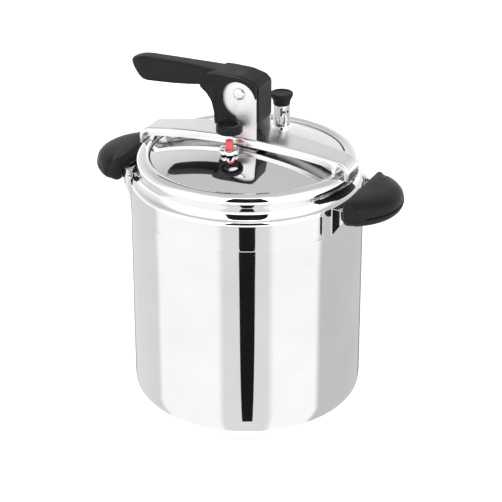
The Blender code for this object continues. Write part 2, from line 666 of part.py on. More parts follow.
def make_indicator(steel, red, rubber):
    lid_z = dome_z(math.hypot(INDICATOR_X, INDICATOR_Y))
    where = (INDICATOR_X, INDICATOR_Y)
    outer = PIN_RADIUS + GAP + FITTING_WALL
    bore = PIN_RADIUS + GAP
    stem_hole = PIN_STEM + GAP
    top = lid_z + INDICATOR_NUT_HEIGHT - FITTING_CHAMFER
    flange_top = lid_z - HOUSING_FLANGE_DROP
    flange_low = flange_top - HOUSING_FLANGE
    floor_top = lid_z - HOUSING_FLOOR_DROP
    floor_low = floor_top - HOUSING_FLOOR
    flange = INDICATOR_NUT_RADIUS - FITTING_CHAMFER
    section = [(bore, top), (outer, top), (outer, flange_top), (flange, flange_top)]
    section += [(flange, flange_low), (outer, flange_low), (outer, floor_low)]
    section += [(stem_hole, floor_low), (stem_hole, floor_top), (bore, floor_top)]
    turned("indicator_housing", section, steel, *where)

    seal_section = tube_section(outer + GAP, flange, flange_top + GAP, lid_z)
    seal = turned("indicator_seal", seal_section, rubber, *where)
    ring_on_dome(seal, lid_z, -LID_WALL - GAP)
    nut_top = lid_z + INDICATOR_NUT_HEIGHT
    nut_section = [(outer + GAP, nut_top), (INDICATOR_NUT_RADIUS - FITTING_CHAMFER, nut_top)]
    nut_section += [(INDICATOR_NUT_RADIUS, nut_top - FITTING_CHAMFER)]
    nut_section += [(INDICATOR_NUT_RADIUS, lid_z), (outer + GAP, lid_z)]
    nut = turned("indicator_nut", nut_section, steel, *where)
    ring_on_dome(nut, lid_z, GAP)

    pin_top = lid_z + PIN_ABOVE_LID
    collar_top = floor_low - GAP - PIN_TRAVEL - SPRING_SPARE
    collar_low = collar_top - PIN_COLLAR
    collar = PIN_STEM + PIN_COLLAR_LIP
    pin = [(0, pin_top), (PIN_RADIUS - PIN_CHAMFER, pin_top), (PIN_RADIUS, pin_top - PIN_CHAMFER)]
    pin += [(PIN_RADIUS, floor_top + GAP), (PIN_STEM, floor_top + GAP), (PIN_STEM, collar_top)]
    pin += [(collar, collar_top), (collar, collar_low), (0, collar_low)]
    turned("indicator_pin", pin, red, *where)
    coil = PIN_STEM + GAP + SPRING_WIRE
    make_spring("indicator_spring", where, coil, collar_top + GAP, floor_low - GAP, steel)


def make_spring(name, where, radius, low, high, mat):
    """Helical spring with square-cut ends."""
    rings = []
    count = SPRING_TURNS * SPRING_STEPS
    climb = high - low - 2 * SPRING_WIRE
    for i in range(count + 1):
        a = 2 * math.pi * i / SPRING_STEPS
        centre = Vector((where[0] + radius * math.cos(a), where[1] + radius * math.sin(a),
                         low + SPRING_WIRE + climb * i / count))
        out = Vector((math.cos(a), math.sin(a), 0))
        ring = []
        for j in range(SPRING_SIDES):
            b = 2 * math.pi * j / SPRING_SIDES
            ring.append(centre + SPRING_WIRE * (out * math.cos(b) + Vector((0, 0, math.sin(b)))))
        rings.append(ring)
    loft(name, rings, mat)


# ---- steam regulator -----------------------------------------------------------------------
def make_nozzle(lid_z, where, steel, rubber):
    """The nozzle through the lid, with the seal and nut that hold it from below."""
    foot_top = lid_z + NOZZLE_FOOT
    tip = lid_z + NOZZLE_HEIGHT
    neck = NOZZLE_RADIUS * NOZZLE_NECK
    thread_low = lid_z - NOZZLE_THREAD
    section = [(NOZZLE_BORE, tip), (NOZZLE_BORE + NOZZLE_TIP_WALL, tip), (neck, tip - NOZZLE_TAPER)]
    section += [(neck, foot_top), (REGULATOR_FOOT_RADIUS - FITTING_CHAMFER, foot_top)]
    section += [(REGULATOR_FOOT_RADIUS, foot_top - FITTING_CHAMFER), (REGULATOR_FOOT_RADIUS, lid_z)]
    section += [(NOZZLE_RADIUS, lid_z), (NOZZLE_RADIUS, thread_low), (NOZZLE_BORE, thread_low)]
    nozzle = turned("regulator_nozzle", section, steel, *where)
    for v in nozzle.data.vertices:
        if abs(v.co.z - lid_z) < 1e-5:
            v.co.z = dome_z(math.hypot(v.co.x, v.co.y)) + GAP
    seal_low = lid_z - REGULATOR_SEAL_DROP
    seal_section = tube_section(NOZZLE_RADIUS + GAP, REGULATOR_SEAL_RADIUS, seal_low, lid_z)
    seal = turned("regulator_seal", seal_section, rubber, *where)
    ring_on_dome(seal, lid_z, -LID_WALL - GAP)
    hexagon = arc(*where, REGULATOR_NUT_RADIUS, 0, 300, 5)
    nut_top = seal_low - GAP
    nut = prism("regulator_nut", hexagon, nut_top - REGULATOR_NUT_HEIGHT, nut_top, steel)
    cut_hole(nut, "nut_bore", *where, thread_low - GAP, lid_z, NOZZLE_RADIUS + GAP)


def make_sleeve(low, top, where, steel):
    """The regulator's outer body, with two steam holes drilled right through."""
    inner = REGULATOR_RADIUS - REGULATOR_WALL
    section = [(0, top), (REGULATOR_RADIUS, top), (REGULATOR_RADIUS, low)]
    section += [(inner, low), (inner, top - REGULATOR_WALL), (0, top - REGULATOR_WALL)]
    body = turned("regulator_sleeve", section, steel, *where)
    drill_section = rod_section(STEAM_HOLE_RADIUS, -2 * CUT_PAST, 2 * CUT_PAST)
    for number in range(2):
        turn = math.radians(STEAM_HOLE_TURN + 90 * number)
        drill = turned("steam_hole_%d" % number, drill_section, steel, segments=8)
        place = Matrix.Translation((*where, top - STEAM_HOLE_DROP)) @ Matrix.Rotation(turn, 4, "Z")
        drill.matrix_world = place @ Matrix.Rotation(math.radians(90), 4, "Y")
        combine(body, drill, "DIFFERENCE")


def make_weight(top, tip, where, steel):
    """The weight inside the sleeve, which sits on the nozzle's tip."""
    radius = REGULATOR_RADIUS - REGULATOR_WALL - GAP
    waist = radius * WEIGHT_WAIST
    skirt = tip - WEIGHT_SKIRT
    section = [(0, top), (waist, top), (waist, tip + WEIGHT_SHOULDER)]
    section += [(radius, tip + WEIGHT_SHOULDER / 2), (radius, skirt), (NOZZLE_RADIUS, skirt)]
    section += [(NOZZLE_RADIUS, tip + GAP), (0, tip + GAP)]
    turned("regulator_weight", section, steel, *where)


def make_knob(low, where, bakelite):
    top = low + KNOB_HEIGHT
    section = [(0, top + KNOB_CROWN), (KNOB_RADIUS - 2 * KNOB_EDGE, top)]
    section += arc(KNOB_RADIUS - KNOB_EDGE, top - KNOB_EDGE, KNOB_EDGE, 80, -15, 3)
    section += [(KNOB_NECK_RADIUS + KNOB_CROWN, low + KNOB_NECK_HEIGHT)]
    section += [(KNOB_NECK_RADIUS, low), (0, low)]
    turned("regulator_knob", section, bakelite, *where)


def make_regulator(steel, bakelite, rubber):
    lid_z = dome_z(math.hypot(REGULATOR_X, REGULATOR_Y))
    where = (REGULATOR_X, REGULATOR_Y)
    sleeve_top = lid_z + REGULATOR_HEIGHT
    make_nozzle(lid_z, where, steel, rubber)
    make_sleeve(lid_z + NOZZLE_FOOT + GAP, sleeve_top, where, steel)
    make_weight(sleeve_top - REGULATOR_WALL - GAP, lid_z + NOZZLE_HEIGHT, where, steel)
    make_knob(sleeve_top + GAP, where, bakelite)


# ---- side handles --------------------------------------------------------------------------
def grip_plan(inner_x):
    """Plan of a side grip at +X: a half moon with a flat back and cut-off corners."""
    centre = BODY_RADIUS - HANDLE_ARC_INSET
    reach = math.degrees(math.asin(HANDLE_HALF_WIDTH / HANDLE_ARC_RADIUS))
    outline = arc(centre, 0, HANDLE_ARC_RADIUS, -reach, reach, 14)
    return [(inner_x, -HANDLE_HALF_WIDTH)] + outline + [(inner_x, HANDLE_HALF_WIDTH)]


def strap_plan(pad_angle):
    """Plan of the strap: pads on the pot, legs outward and a straight web between them."""
    pad_in = BODY_RADIUS + GAP
    pad_out = pad_in + STRAP_THICKNESS
    web_in = BODY_RADIUS + STRAP_STANDOFF
    web_out = web_in + STRAP_THICKNESS
    low = pad_angle - STRAP_PAD_ANGLE
    high = pad_angle + STRAP_PAD_ANGLE
    leg = pad_in * math.sin(math.radians(low))
    outer = arc(0, 0, pad_out, high, low, 2)
    side = [(web_in, leg - STRAP_THICKNESS)] + arc(0, 0, pad_in, low, high, 2) + outer[:-1]
    side += [(outer[-1][0], leg + STRAP_THICKNESS / 2), (web_out, leg)]
    lower = [(x, -y) for x, y in side[::-1]]
    return side + lower


def make_strap(name, back, tab_end, web_low, steel):
    """The strap with its two pads and the tab that carries the grip."""
    pad_angle = math.degrees(math.asin(HANDLE_HALF_WIDTH / BODY_RADIUS))
    pad_in = BODY_RADIUS + GAP
    pad_low = web_low + STRAP_WEB_HEIGHT - STRAP_PAD_HEIGHT + STRAP_PAD_RISE
    web_high = web_low + STRAP_WEB_HEIGHT
    strap = prism(name + "_handle_bracket", strap_plan(pad_angle), web_low, web_high, steel)
    extras = []
    for sign in (-1, 1):
        low = sign * pad_angle - STRAP_PAD_ANGLE
        high = sign * pad_angle + STRAP_PAD_ANGLE
        plan = arc(0, 0, pad_in, low, high, 2) + arc(0, 0, pad_in + STRAP_THICKNESS, high, low, 2)
        pad_name = "%s_pad%+d" % (name, sign)
        extras.append(prism(pad_name, plan, pad_low, pad_low + STRAP_PAD_HEIGHT, steel))
    extras.append(box(name + "_tab", (back - GAP - STRAP_THICKNESS, -TAB_HALF_WIDTH, web_low),
                      (tab_end, TAB_HALF_WIDTH, web_low + STRAP_THICKNESS), steel))
    for extra in extras:
        combine(strap, extra, "UNION")
    return strap, extras


def make_grip(name, back, tab_end, grip_low, tab_high, bakelite):
    """The half-moon grip, with a pocket under it for the tab."""
    grip = prism(name + "_handle_grip", grip_plan(back), grip_low, HANDLE_TOP, bakelite)
    bevel(grip, HANDLE_EDGE, 3)
    wide = TAB_HALF_WIDTH + GAP
    pocket = box(name + "_pocket", (back - CUT_PAST, -wide, grip_low - CUT_PAST),
                 (tab_end + GAP, wide, tab_high + GAP), bakelite)
    combine(grip, pocket, "DIFFERENCE")
    return grip, pocket


def make_screw(name, x, y, head_top, steel):
    tip = head_top + SCREW_LENGTH
    section = [(0, tip), (SCREW_RADIUS, tip), (SCREW_RADIUS, head_top), (SCREW_HEAD_RADIUS, head_top)]
    section += [(SCREW_HEAD_RADIUS * 0.7, head_top - SCREW_HEAD), (0, head_top - SCREW_HEAD)]
    return turned(name, section, steel, x, y, 12)


def make_handle(name, side, steel, bakelite):
    """One side handle, built at +X and turned half round for the other side."""
    grip_low = HANDLE_TOP - HANDLE_THICKNESS
    back = BODY_RADIUS + STRAP_STANDOFF + STRAP_THICKNESS + GAP
    web_low = grip_low + GAP
    tab_end = back + TAB_LENGTH
    strap, extras = make_strap(name, back, tab_end, web_low, steel)
    grip, pocket = make_grip(name, back, tab_end, grip_low, web_low + STRAP_THICKNESS, bakelite)
    pieces = [strap, grip, pocket] + extras
    x = (back + tab_end) / 2
    head_top = web_low - GAP
    tall = head_top + SCREW_LENGTH + GAP
    for number, sign in enumerate((-1, 1), 1):
        y = sign * SCREW_SPACING / 2
        pieces.append(make_screw("%s_handle_screw_%d" % (name, number), x, y, head_top, steel))
        for target in (strap, grip):
            cut_hole(target, "%s_%d_%s" % (name, number, target.name[-4:]), x, y,
                     grip_low - CUT_PAST, tall, SCREW_RADIUS + GAP, 12)
            pieces.append(target.modifiers[-1].object)
    if side < 0:
        for piece in pieces:
            piece.matrix_world = Matrix.Rotation(math.pi, 4, "Z") @ piece.matrix_world


def main():
    clear_scene()
    steel = material("polished_stainless", (0.78, 0.78, 0.78), 0.08, 1.0)
    aluminium = material("aluminium", (0.80, 0.80, 0.81), 0.35, 1.0)
    bakelite = material("black_bakelite", (0.022, 0.022, 0.025), 0.42, 0.0)
    red = material("red_plastic", (0.78, 0.09, 0.10), 0.35, 0.0)
    rubber = material("grey_silicone", (0.16, 0.16, 0.17), 0.6, 0.0)
    make_pot(steel, aluminium)
    make_lid(steel, rubber)
    make_crossbar(steel)
    make_bracket(steel)
    make_lever(bakelite, steel)
    make_indicator(steel, red, rubber)
    make_regulator(steel, bakelite, rubber)
    make_handle("right", 1, steel, bakelite)
    make_handle("left", -1, steel, bakelite)


main()
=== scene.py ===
"""Looks of the pressure canner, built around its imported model. Metres, +Z up."""
import math

import bmesh
import bpy
import numpy as np
from mathutils import Matrix, Vector


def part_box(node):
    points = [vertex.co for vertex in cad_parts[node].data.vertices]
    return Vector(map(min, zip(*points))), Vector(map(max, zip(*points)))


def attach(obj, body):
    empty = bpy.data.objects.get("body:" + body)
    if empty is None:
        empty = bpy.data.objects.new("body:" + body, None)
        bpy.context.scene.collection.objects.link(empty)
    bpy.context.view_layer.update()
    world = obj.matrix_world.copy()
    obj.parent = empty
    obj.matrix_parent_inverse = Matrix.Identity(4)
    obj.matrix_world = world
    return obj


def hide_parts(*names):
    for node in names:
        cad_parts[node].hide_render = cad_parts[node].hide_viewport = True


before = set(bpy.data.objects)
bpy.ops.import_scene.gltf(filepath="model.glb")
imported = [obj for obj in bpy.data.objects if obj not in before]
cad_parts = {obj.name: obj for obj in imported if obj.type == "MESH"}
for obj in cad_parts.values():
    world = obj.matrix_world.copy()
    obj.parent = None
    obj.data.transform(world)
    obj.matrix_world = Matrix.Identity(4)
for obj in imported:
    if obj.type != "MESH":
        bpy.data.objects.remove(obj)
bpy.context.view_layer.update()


def mid_xy(lo, hi):
    return (lo.x + hi.x) / 2, (lo.y + hi.y) / 2


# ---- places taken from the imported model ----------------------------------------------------
TURN = 160                          # facets round the pot
RIM_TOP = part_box("pot_body")[1].z
BODY_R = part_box("pot_body")[1].x
POT_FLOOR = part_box("pot_body")[0].z
RIM_R = 0.0085
RIM_C = (BODY_R - 0.0145, RIM_TOP - RIM_R)
WALL = 0.0012
GAP = 0.0003                        # play between parts, as in the CAD model
NECK_STEP = 0.0072                  # how far the neck stands inside the body
NECK_IN = BODY_R - NECK_STEP - WALL
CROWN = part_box("lid_disc")[1].z
LID_EDGE = 0.0985
SAG = CROWN - RIM_TOP + 0.002
DOME_R = (LID_EDGE ** 2 + SAG ** 2) / (2 * SAG)
BAR_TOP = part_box("crossbar")[1].z
BAR_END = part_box("crossbar")[1].x
BAR_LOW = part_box("crossbar")[0].z
BAR_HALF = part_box("crossbar")[1].y
EAR_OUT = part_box("lever_bracket")[1].y
EAR_WALL = 0.0018
EAR_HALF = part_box("lever_bracket")[1].x
PIVOT_Z = 0.358
EAR_DROP = 0.0055                   # the ears' round top is centred this far below the pivot
TRAVEL = math.radians(45)           # the lever's swing
FALL = 0.007                        # the lid's fall over that swing
PIVOT_ABOVE_BAR = 0.046
PIN_LO, PIN_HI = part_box("indicator_pin")
PIN_X, PIN_Y = mid_xy(PIN_LO, PIN_HI)
REG_LO, REG_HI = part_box("regulator_sleeve")
REG_X, REG_Y = mid_xy(REG_LO, REG_HI)
KNOB_LO, KNOB_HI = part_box("regulator_knob")


def dome_z(radius):
    return CROWN - DOME_R + math.sqrt(DOME_R ** 2 - radius ** 2)


# ---- materials -------------------------------------------------------------------------------
class Nodes:
    """A material's node tree with short calls."""

    def __init__(self, name):
        self.mat = bpy.data.materials.new(name)
        self.mat.use_nodes = True
        self.tree = self.mat.node_tree
        self.shader = self.tree.nodes["Principled BSDF"]
        self.place = self.add("ShaderNodeTexCoord").outputs["Object"]

    def add(self, kind, **settings):
        node = self.tree.nodes.new(kind)
        for key, value in settings.items():
            setattr(node, key, value)
        return node

    def link(self, a, b):
        self.tree.links.new(a, b)

    def stretched(self, scale):
        node = self.add("ShaderNodeMapping")
        node.inputs["Scale"].default_value = scale
        self.link(self.place, node.inputs["Vector"])
        return node.outputs["Vector"]

    def noise(self, scale, detail=3.0, rough=0.5, where=None):
        node = self.add("ShaderNodeTexNoise")
        node.inputs["Scale"].default_value = scale
        node.inputs["Detail"].default_value = detail
        node.inputs["Roughness"].default_value = rough
        self.link(where or self.place, node.inputs["Vector"])
        return node.outputs["Fac"]

    def span(self, value, low, high, start=0.3, end=0.7):
        node = self.add("ShaderNodeMapRange")
        for name, number in (("From Min", start), ("From Max", end), ("To Min", low), ("To Max", high)):
            node.inputs[name].default_value = number
        self.link(value, node.inputs["Value"])
        return node.outputs["Result"]

    def ramp(self, value, stops):
        node = self.add("ShaderNodeValToRGB")
        ramp = node.color_ramp
        while len(ramp.elements) < len(stops):
            ramp.elements.new(0.5)
        for element, (position, colour) in zip(ramp.elements, stops):
            element.position = position
            element.color = (*colour, 1.0)
        self.link(value, node.inputs["Fac"])
        return node.outputs["Color"]

    def bump(self, height, strength, distance, below=None):
        node = self.add("ShaderNodeBump")
        node.inputs["Strength"].default_value = strength
        node.inputs["Distance"].default_value = distance
        self.link(height, node.inputs["Height"])
        if below:
            self.link(below, node.inputs["Normal"])
        return node.outputs["Normal"]

    def feed(self, name, value):
        self.link(value, self.shader.inputs[name])

    def put(self, **values):
        for name, value in values.items():
            self.shader.inputs[name.replace("_", " ")].default_value = value


def steel(name, tint=(0.83, 0.83, 0.835), low=0.025, high=0.06, wave=0.05, grain=0.015):
    """Polished stainless steel: faint smears in its gloss and a very slight waviness."""
    m = Nodes(name)
    smear = m.noise(55.0, 5.0, 0.6, m.stretched((1.0, 1.0, 0.25)))
    m.feed("Roughness", m.span(smear, low, high))
    deep = tuple(c * 0.94 for c in tint)
    m.feed("Base Color", m.ramp(m.noise(18.0, 3.0), [(0.3, deep), (0.7, tint)]))
    slow = m.bump(m.noise(9.0, 1.0), wave, 0.0006)
    m.feed("Normal", m.bump(m.noise(2600.0, 2.0), grain, 0.00004, slow))
    m.put(Metallic=1.0)
    return m.mat


def turned_steel(name, tint, low, high, rings):
    """Steel or aluminium with fine rings left by turning or spinning."""
    m = Nodes(name)
    wave = m.add("ShaderNodeTexWave", wave_type="RINGS", rings_direction="Z")
    wave.inputs["Scale"].default_value = rings
    wave.inputs["Distortion"].default_value = 1.5
    wave.inputs["Detail"].default_value = 3.0
    m.link(m.place, wave.inputs["Vector"])
    m.feed("Roughness", m.span(m.noise(70.0, 4.0), low, high))
    m.feed("Base Color", m.ramp(m.noise(25.0), [(0.3, tuple(c * 0.92 for c in tint)), (0.7, tint)]))
    m.feed("Normal", m.bump(wave.outputs["Fac"], 0.12, 0.00003))
    m.put(Metallic=1.0)
    return m.mat


def bakelite(name):
    """Moulded black phenolic: satin, with a fine grain and slightly rubbed patches."""
    m = Nodes(name)
    m.feed("Roughness", m.span(m.noise(45.0, 4.0), 0.34, 0.46))
    tints = [(0.3, (0.0065, 0.0065, 0.0085)), (0.7, (0.0095, 0.0095, 0.0125))]
    m.feed("Base Color", m.ramp(m.noise(30.0, 4.0), tints))
    coarse = m.bump(m.noise(900.0, 2.0), 0.10, 0.0001)
    m.feed("Normal", m.bump(m.noise(3200.0, 2.0), 0.16, 0.00006, coarse))
    m.put(IOR=1.5)
    m.shader.inputs["Specular IOR Level"].default_value = 0.17
    return m.mat


def red_plastic(name):
    m = Nodes(name)
    m.feed("Roughness", m.span(m.noise(300.0), 0.22, 0.36))
    m.feed("Base Color", m.ramp(m.noise(220.0),
                                [(0.3, (0.74, 0.09, 0.105)), (0.7, (0.80, 0.115, 0.13))]))
    m.feed("Normal", m.bump(m.noise(1800.0), 0.08, 0.00005))
    m.shader.inputs["Subsurface Weight"].default_value = 0.25
    m.shader.inputs["Subsurface Scale"].default_value = 0.003
    return m.mat


def rubber(name):
    m = Nodes(name)
    m.feed("Roughness", m.span(m.noise(120.0), 0.5, 0.68))
    m.feed("Base Color", m.ramp(m.noise(80.0),
                                [(0.3, (0.10, 0.10, 0.105)), (0.7, (0.14, 0.14, 0.145))]))
    m.feed("Normal", m.bump(m.noise(1500.0), 0.2, 0.0001))
    return m.mat


BODY_STEEL = steel("body_steel", wave=0.03)
LID_STEEL = steel("lid_steel", tint=(0.80, 0.80, 0.80), low=0.02, high=0.05, wave=0.02)
BAR_STEEL = steel("bar_steel", low=0.22, high=0.28)
PLATE_STEEL = steel("plate_steel", low=0.42, high=0.50)
FIT_STEEL = steel("fitting_steel", low=0.03, high=0.09, wave=0.02)
TURNED = turned_steel("turned_steel", (0.72, 0.72, 0.72), 0.12, 0.22, 900.0)
ALUMINIUM = turned_steel("spun_aluminium", (0.77, 0.77, 0.78), 0.25, 0.38, 500.0)
BLACK = bakelite("black_phenolic")
RED = red_plastic("red_plastic_pin")
SEAL = rubber("grey_rubber")


# ---- mesh helpers ------------------------------------------------------------------------------
def piece(name, verts, faces, mat, body, nodes, sharp=40.0):
    """Make a mesh, give it its body, and let it stand for its CAD nodes."""
    mesh = bpy.data.meshes.new(name)
    mesh.from_pydata([tuple(v) for v in verts], [], [tuple(f) for f in faces])
    mesh.validate()
    bm = bmesh.new()
    bm.from_mesh(mesh)
    bmesh.ops.remove_doubles(bm, verts=bm.verts, dist=2e-6)
    bmesh.ops.dissolve_degenerate(bm, edges=bm.edges, dist=1e-7)
    bmesh.ops.recalc_face_normals(bm, faces=bm.faces)
    bm.to_mesh(mesh)
    bm.free()
    return settle(name, mesh, mat, body, nodes, sharp)


def settle(name, mesh, mat, body, nodes, sharp=40.0):
    mesh.materials.clear()
    mesh.materials.append(mat)
    mesh.shade_smooth()
    mesh.set_sharp_from_angle(angle=math.radians(sharp))
    thing = bpy.data.objects.new(name, mesh)
    bpy.context.scene.collection.objects.link(thing)
    if body:
        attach(thing, body)
        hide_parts(*nodes)
    return thing


def scratch(name, verts, faces):
    """A closed mesh used only to build another one."""
    mesh = bpy.data.meshes.new(name)
    mesh.from_pydata([tuple(v) for v in verts], [], [tuple(f) for f in faces])
    bm = bmesh.new()
    bm.from_mesh(mesh)
    bmesh.ops.remove_doubles(bm, verts=bm.verts, dist=2e-6)
    bmesh.ops.recalc_face_normals(bm, faces=bm.faces)
    bm.to_mesh(mesh)
    bm.free()
    thing = bpy.data.objects.new(name, mesh)
    bpy.context.scene.collection.objects.link(thing)
    return thing


def baked(thing, tools):
    """The object's mesh with its modifiers applied; the object and its tools are removed."""
    graph = bpy.context.evaluated_depsgraph_get()
    mesh = bpy.data.meshes.new_from_object(thing.evaluated_get(graph))
    for used in (thing, *tools):
        bpy.data.objects.remove(used)
    return mesh


def boolean(target, other, operation):
    mod = target.modifiers.new(other.name, "BOOLEAN")
    mod.object = other
    mod.operation = operation
    mod.solver = "EXACT"


def arc(cx, cy, radius, start, end, steps):
    points = []
    for i in range(steps + 1):
        a = math.radians(start + (end - start) * i / steps)
        points.append((cx + radius * math.cos(a), cy + radius * math.sin(a)))
    return points


def rounded(points, closed=True, steps=5):
    """Outline with its corners rounded: each point is (a, b) or (a, b, radius)."""
    out = []
    count = len(points)
    for i, point in enumerate(points):
        here = Vector(point[:2])
        radius = point[2] if len(point) > 2 else 0.0
        ends = not closed and i in (0, count - 1)
        if radius <= 0 or ends:
            out.append(tuple(here))
            continue
        back = (Vector(points[i - 1][:2]) - here)
        ahead = (Vector(points[(i + 1) % count][:2]) - here)
        half = back.angle(ahead) / 2
        reach = min(radius / math.tan(half), back.length * 0.49, ahead.length * 0.49)
        radius = reach * math.tan(half)
        back.normalize()
        ahead.normalize()
        middle = here + (back + ahead).normalized() * (radius / math.sin(half))
        a = here + back * reach - middle
        b = here + ahead * reach - middle
        sweep = a.angle(b)
        for k in range(steps + 1):
            t = k / steps
            if sweep < 1e-4:
                mixed = a
            else:
                mixed = (a * math.sin((1 - t) * sweep) + b * math.sin(t * sweep)) / math.sin(sweep)
            out.append(tuple(middle + mixed))
    return out


def refine(points, longest, closed=False):
    """Add points so that no step is longer than the given length."""
    out = []
    pairs = list(zip(points, points[1:] + (points[:1] if closed else [])))
    for a, b in pairs:
        steps = max(1, math.ceil(math.dist(a, b) / longest))
        for k in range(steps):
            out.append((a[0] + (b[0] - a[0]) * k / steps, a[1] + (b[1] - a[1]) * k / steps))
    if not closed:
        out.append(points[-1])
    return out


def band(i, j, count):
    """Quads between ring i and ring j, each of count points."""
    quads = []
    for k in range(count):
        m = (k + 1) % count
        quads.append((i * count + k, i * count + m, j * count + m, j * count + k))
    return quads


def circle(radius, count):
    turns = np.linspace(0, 2 * math.pi, count + 1)[:-1]
    return [(radius * math.cos(t), radius * math.sin(t)) for t in turns]


def turn_grid(line, segments=96, x=0.0, y=0.0):
    """Vertices and faces of a closed (radius, z) section spun about a vertical line."""
    verts = []
    for r, z in line:
        for k in range(segments):
            a = 2 * math.pi * k / segments
            verts.append((x + r * math.cos(a), y + r * math.sin(a), z))
    faces = []
    rows = len(line)
    for i in range(rows):
        j = (i + 1) % rows
        if line[i][0] < 1e-7 and line[j][0] < 1e-7:
            continue
        faces += band(i, j, segments)
    return verts, faces


def turned(name, line, mat, body, nodes, x=0.0, y=0.0, segments=96, sharp=40.0):
    verts, faces = turn_grid(line, segments, x, y)
    return piece(name, verts, faces, mat, body, nodes, sharp)


def stack(rings):
    """Vertices and faces of a row of closed rings, with both ends capped."""
    count = len(rings[0])
    verts = [p for ring in rings for p in ring]
    faces = []
    for i in range(len(rings) - 1):
        faces += band(i, i + 1, count)
    faces.append(tuple(range(count)))
    faces.append(tuple((len(rings) - 1) * count + k for k in range(count)))
    return verts, faces


def inset(outline, distance):
    """A closed counter-clockwise outline moved inwards."""
    out = []
    count = len(outline)
    for i in range(count):
        a = Vector(outline[i - 1])
        b = Vector(outline[i])
        c = Vector(outline[(i + 1) % count])
        one = (b - a).normalized()
        two = (c - b).normalized()
        normal = Vector((-(one.y + two.y), one.x + two.x))
        normal.normalize()
        scale = max(0.35, normal.dot(Vector((-one.y, one.x))))
        out.append(tuple(b + normal * (distance / scale)))
    return out


def slab(outline, low, high, edge, place, steps=3):
    """Rings of an extruded counter-clockwise outline with rounded edges.

    place(a, b, c) turns the outline's (a, b) and a height c into a point.
    """
    rings = []
    for side, level in ((1, low), (-1, high)):
        part = []
        for k in range(steps + 1):
            t = math.radians(90 * k / steps)
            shift = edge * (1 - math.sin(t))
            depth = edge * (1 - math.cos(t))
            part.append([place(a, b, level + side * depth) for a, b in inset(outline, shift)])
        rings += part if side > 0 else part[::-1]
    return rings


def thick_grid(outer, inner, keep, wrap=False):
    """A sheet between two grids of points; keep[i][j] says which cells are there."""
    rows, cols = len(outer), len(outer[0])
    verts = [p for row in outer for p in row] + [p for row in inner for p in row]
    shift = rows * cols
    last = cols if wrap else cols - 1

    def at(i, j):
        return i * cols + j % cols

    faces = []
    for i in range(rows - 1):
        for j in range(last):
            if not keep[i][j]:
                continue
            a, b, c, d = at(i, j), at(i, j + 1), at(i + 1, j + 1), at(i + 1, j)
            faces.append((a, b, c, d))
            faces.append((d + shift, c + shift, b + shift, a + shift))
            around = ((i - 1, j, a, b), (i + 1, j, c, d), (i, j - 1, d, a), (i, j + 1, b, c))
            for ni, nj, p, q in around:
                if wrap:
                    nj %= cols
                open_side = ni < 0 or ni >= rows - 1 or nj < 0 or nj >= last or not keep[ni][nj]
                if open_side:
                    faces.append((q, p, p + shift, q + shift))
    return verts, faces


def edge_bevel(thing, width, steps=2, angle=35.0):
    mod = thing.modifiers.new("soft_edges", "BEVEL")
    mod.width = width
    mod.segments = steps
    mod.limit_method = "ANGLE"
    mod.angle_limit = math.radians(angle)
    mod.harden_normals = True


# ---- pot -----------------------------------------------------------------------------------------
def offset(line, distance):
    """An open line moved to its left; its first point stays on the axis."""
    out = []
    for i in range(len(line)):
        a = Vector(line[max(i - 1, 0)])
        b = Vector(line[min(i + 1, len(line) - 1)])
        along = (b - a).normalized()
        out.append((line[i][0] - along.y * distance, line[i][1] + along.x * distance))
    out[0] = (0.0, out[0][1])
    return out


def pot_line():
    corner = 0.038
    floor = POT_FLOOR
    line = [(0.0, floor)] + [(r, floor) for r in (0.03, 0.055, 0.07, 0.078, BODY_R - corner - 0.001)]
    line += arc(BODY_R - corner, floor + corner, corner, -90, 0, 22)
    crease = RIM_TOP - 0.024
    shoulder = 0.005
    line += [(BODY_R, z) for z in (floor + corner + 0.002, floor + corner + 0.01, 0.08, 0.12, 0.16,
                                   0.20)]
    # a faint bead pressed round the side
    bead = 0.234
    for k in range(-3, 4):
        line.append((BODY_R - 0.00012 * (1 + math.cos(math.pi * k / 3)) / 2, bead + 0.0004 * k))
    line += [(BODY_R, z) for z in (0.240, 0.250, crease - shoulder - 0.002)]
    line += arc(BODY_R - shoulder, crease - shoulder, shoulder, 0, 72, 8)
    neck = (BODY_R - NECK_STEP, RIM_TOP - 0.0172)
    tail = line[-1]
    line += [(tail[0] + (neck[0] - tail[0]) * t - 0.0006 * math.sin(math.pi * t),
              tail[1] + (neck[1] - tail[1]) * t) for t in (0.25, 0.5, 0.75)]
    line += [neck]
    line += arc(RIM_C[0], RIM_C[1], RIM_R, -30, 125, 30)
    return line


def make_pot():
    outer = pot_line()
    inner = offset(outer, WALL)
    tip = outer[-1]
    end = inner[-1]
    mid = ((tip[0] + end[0]) / 2, (tip[1] + end[1]) / 2)
    away = Vector(tip) - Vector(outer[-2])
    away = away.normalized() * WALL * 0.4
    loop = outer + [(mid[0] + away.x, mid[1] + away.y)] + inner[::-1]
    turned("pot_shell", loop, BODY_STEEL, "pot", ["pot_body"], segments=TURN * 2,
           sharp=60.0)
    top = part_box("base_cap")[1].z
    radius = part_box("base_cap")[1].x
    cap = [(0, 0.0)] + [(radius * t, 0.0) for t in (0.3, 0.6, 0.8, 0.9, 0.96)]
    cap += arc(radius - 0.0009, 0.0009, 0.0009, -90, 0, 6)
    cap += arc(radius - 0.00035, top - 0.00035, 0.00035, 0, 180, 6)
    cap += [(radius - 0.0007, 0.0009), (radius - 0.0012, 0.0007), (0, 0.0007)]
    turned("base_disc", cap, BODY_STEEL, "pot", ["base_cap"], segments=TURN)


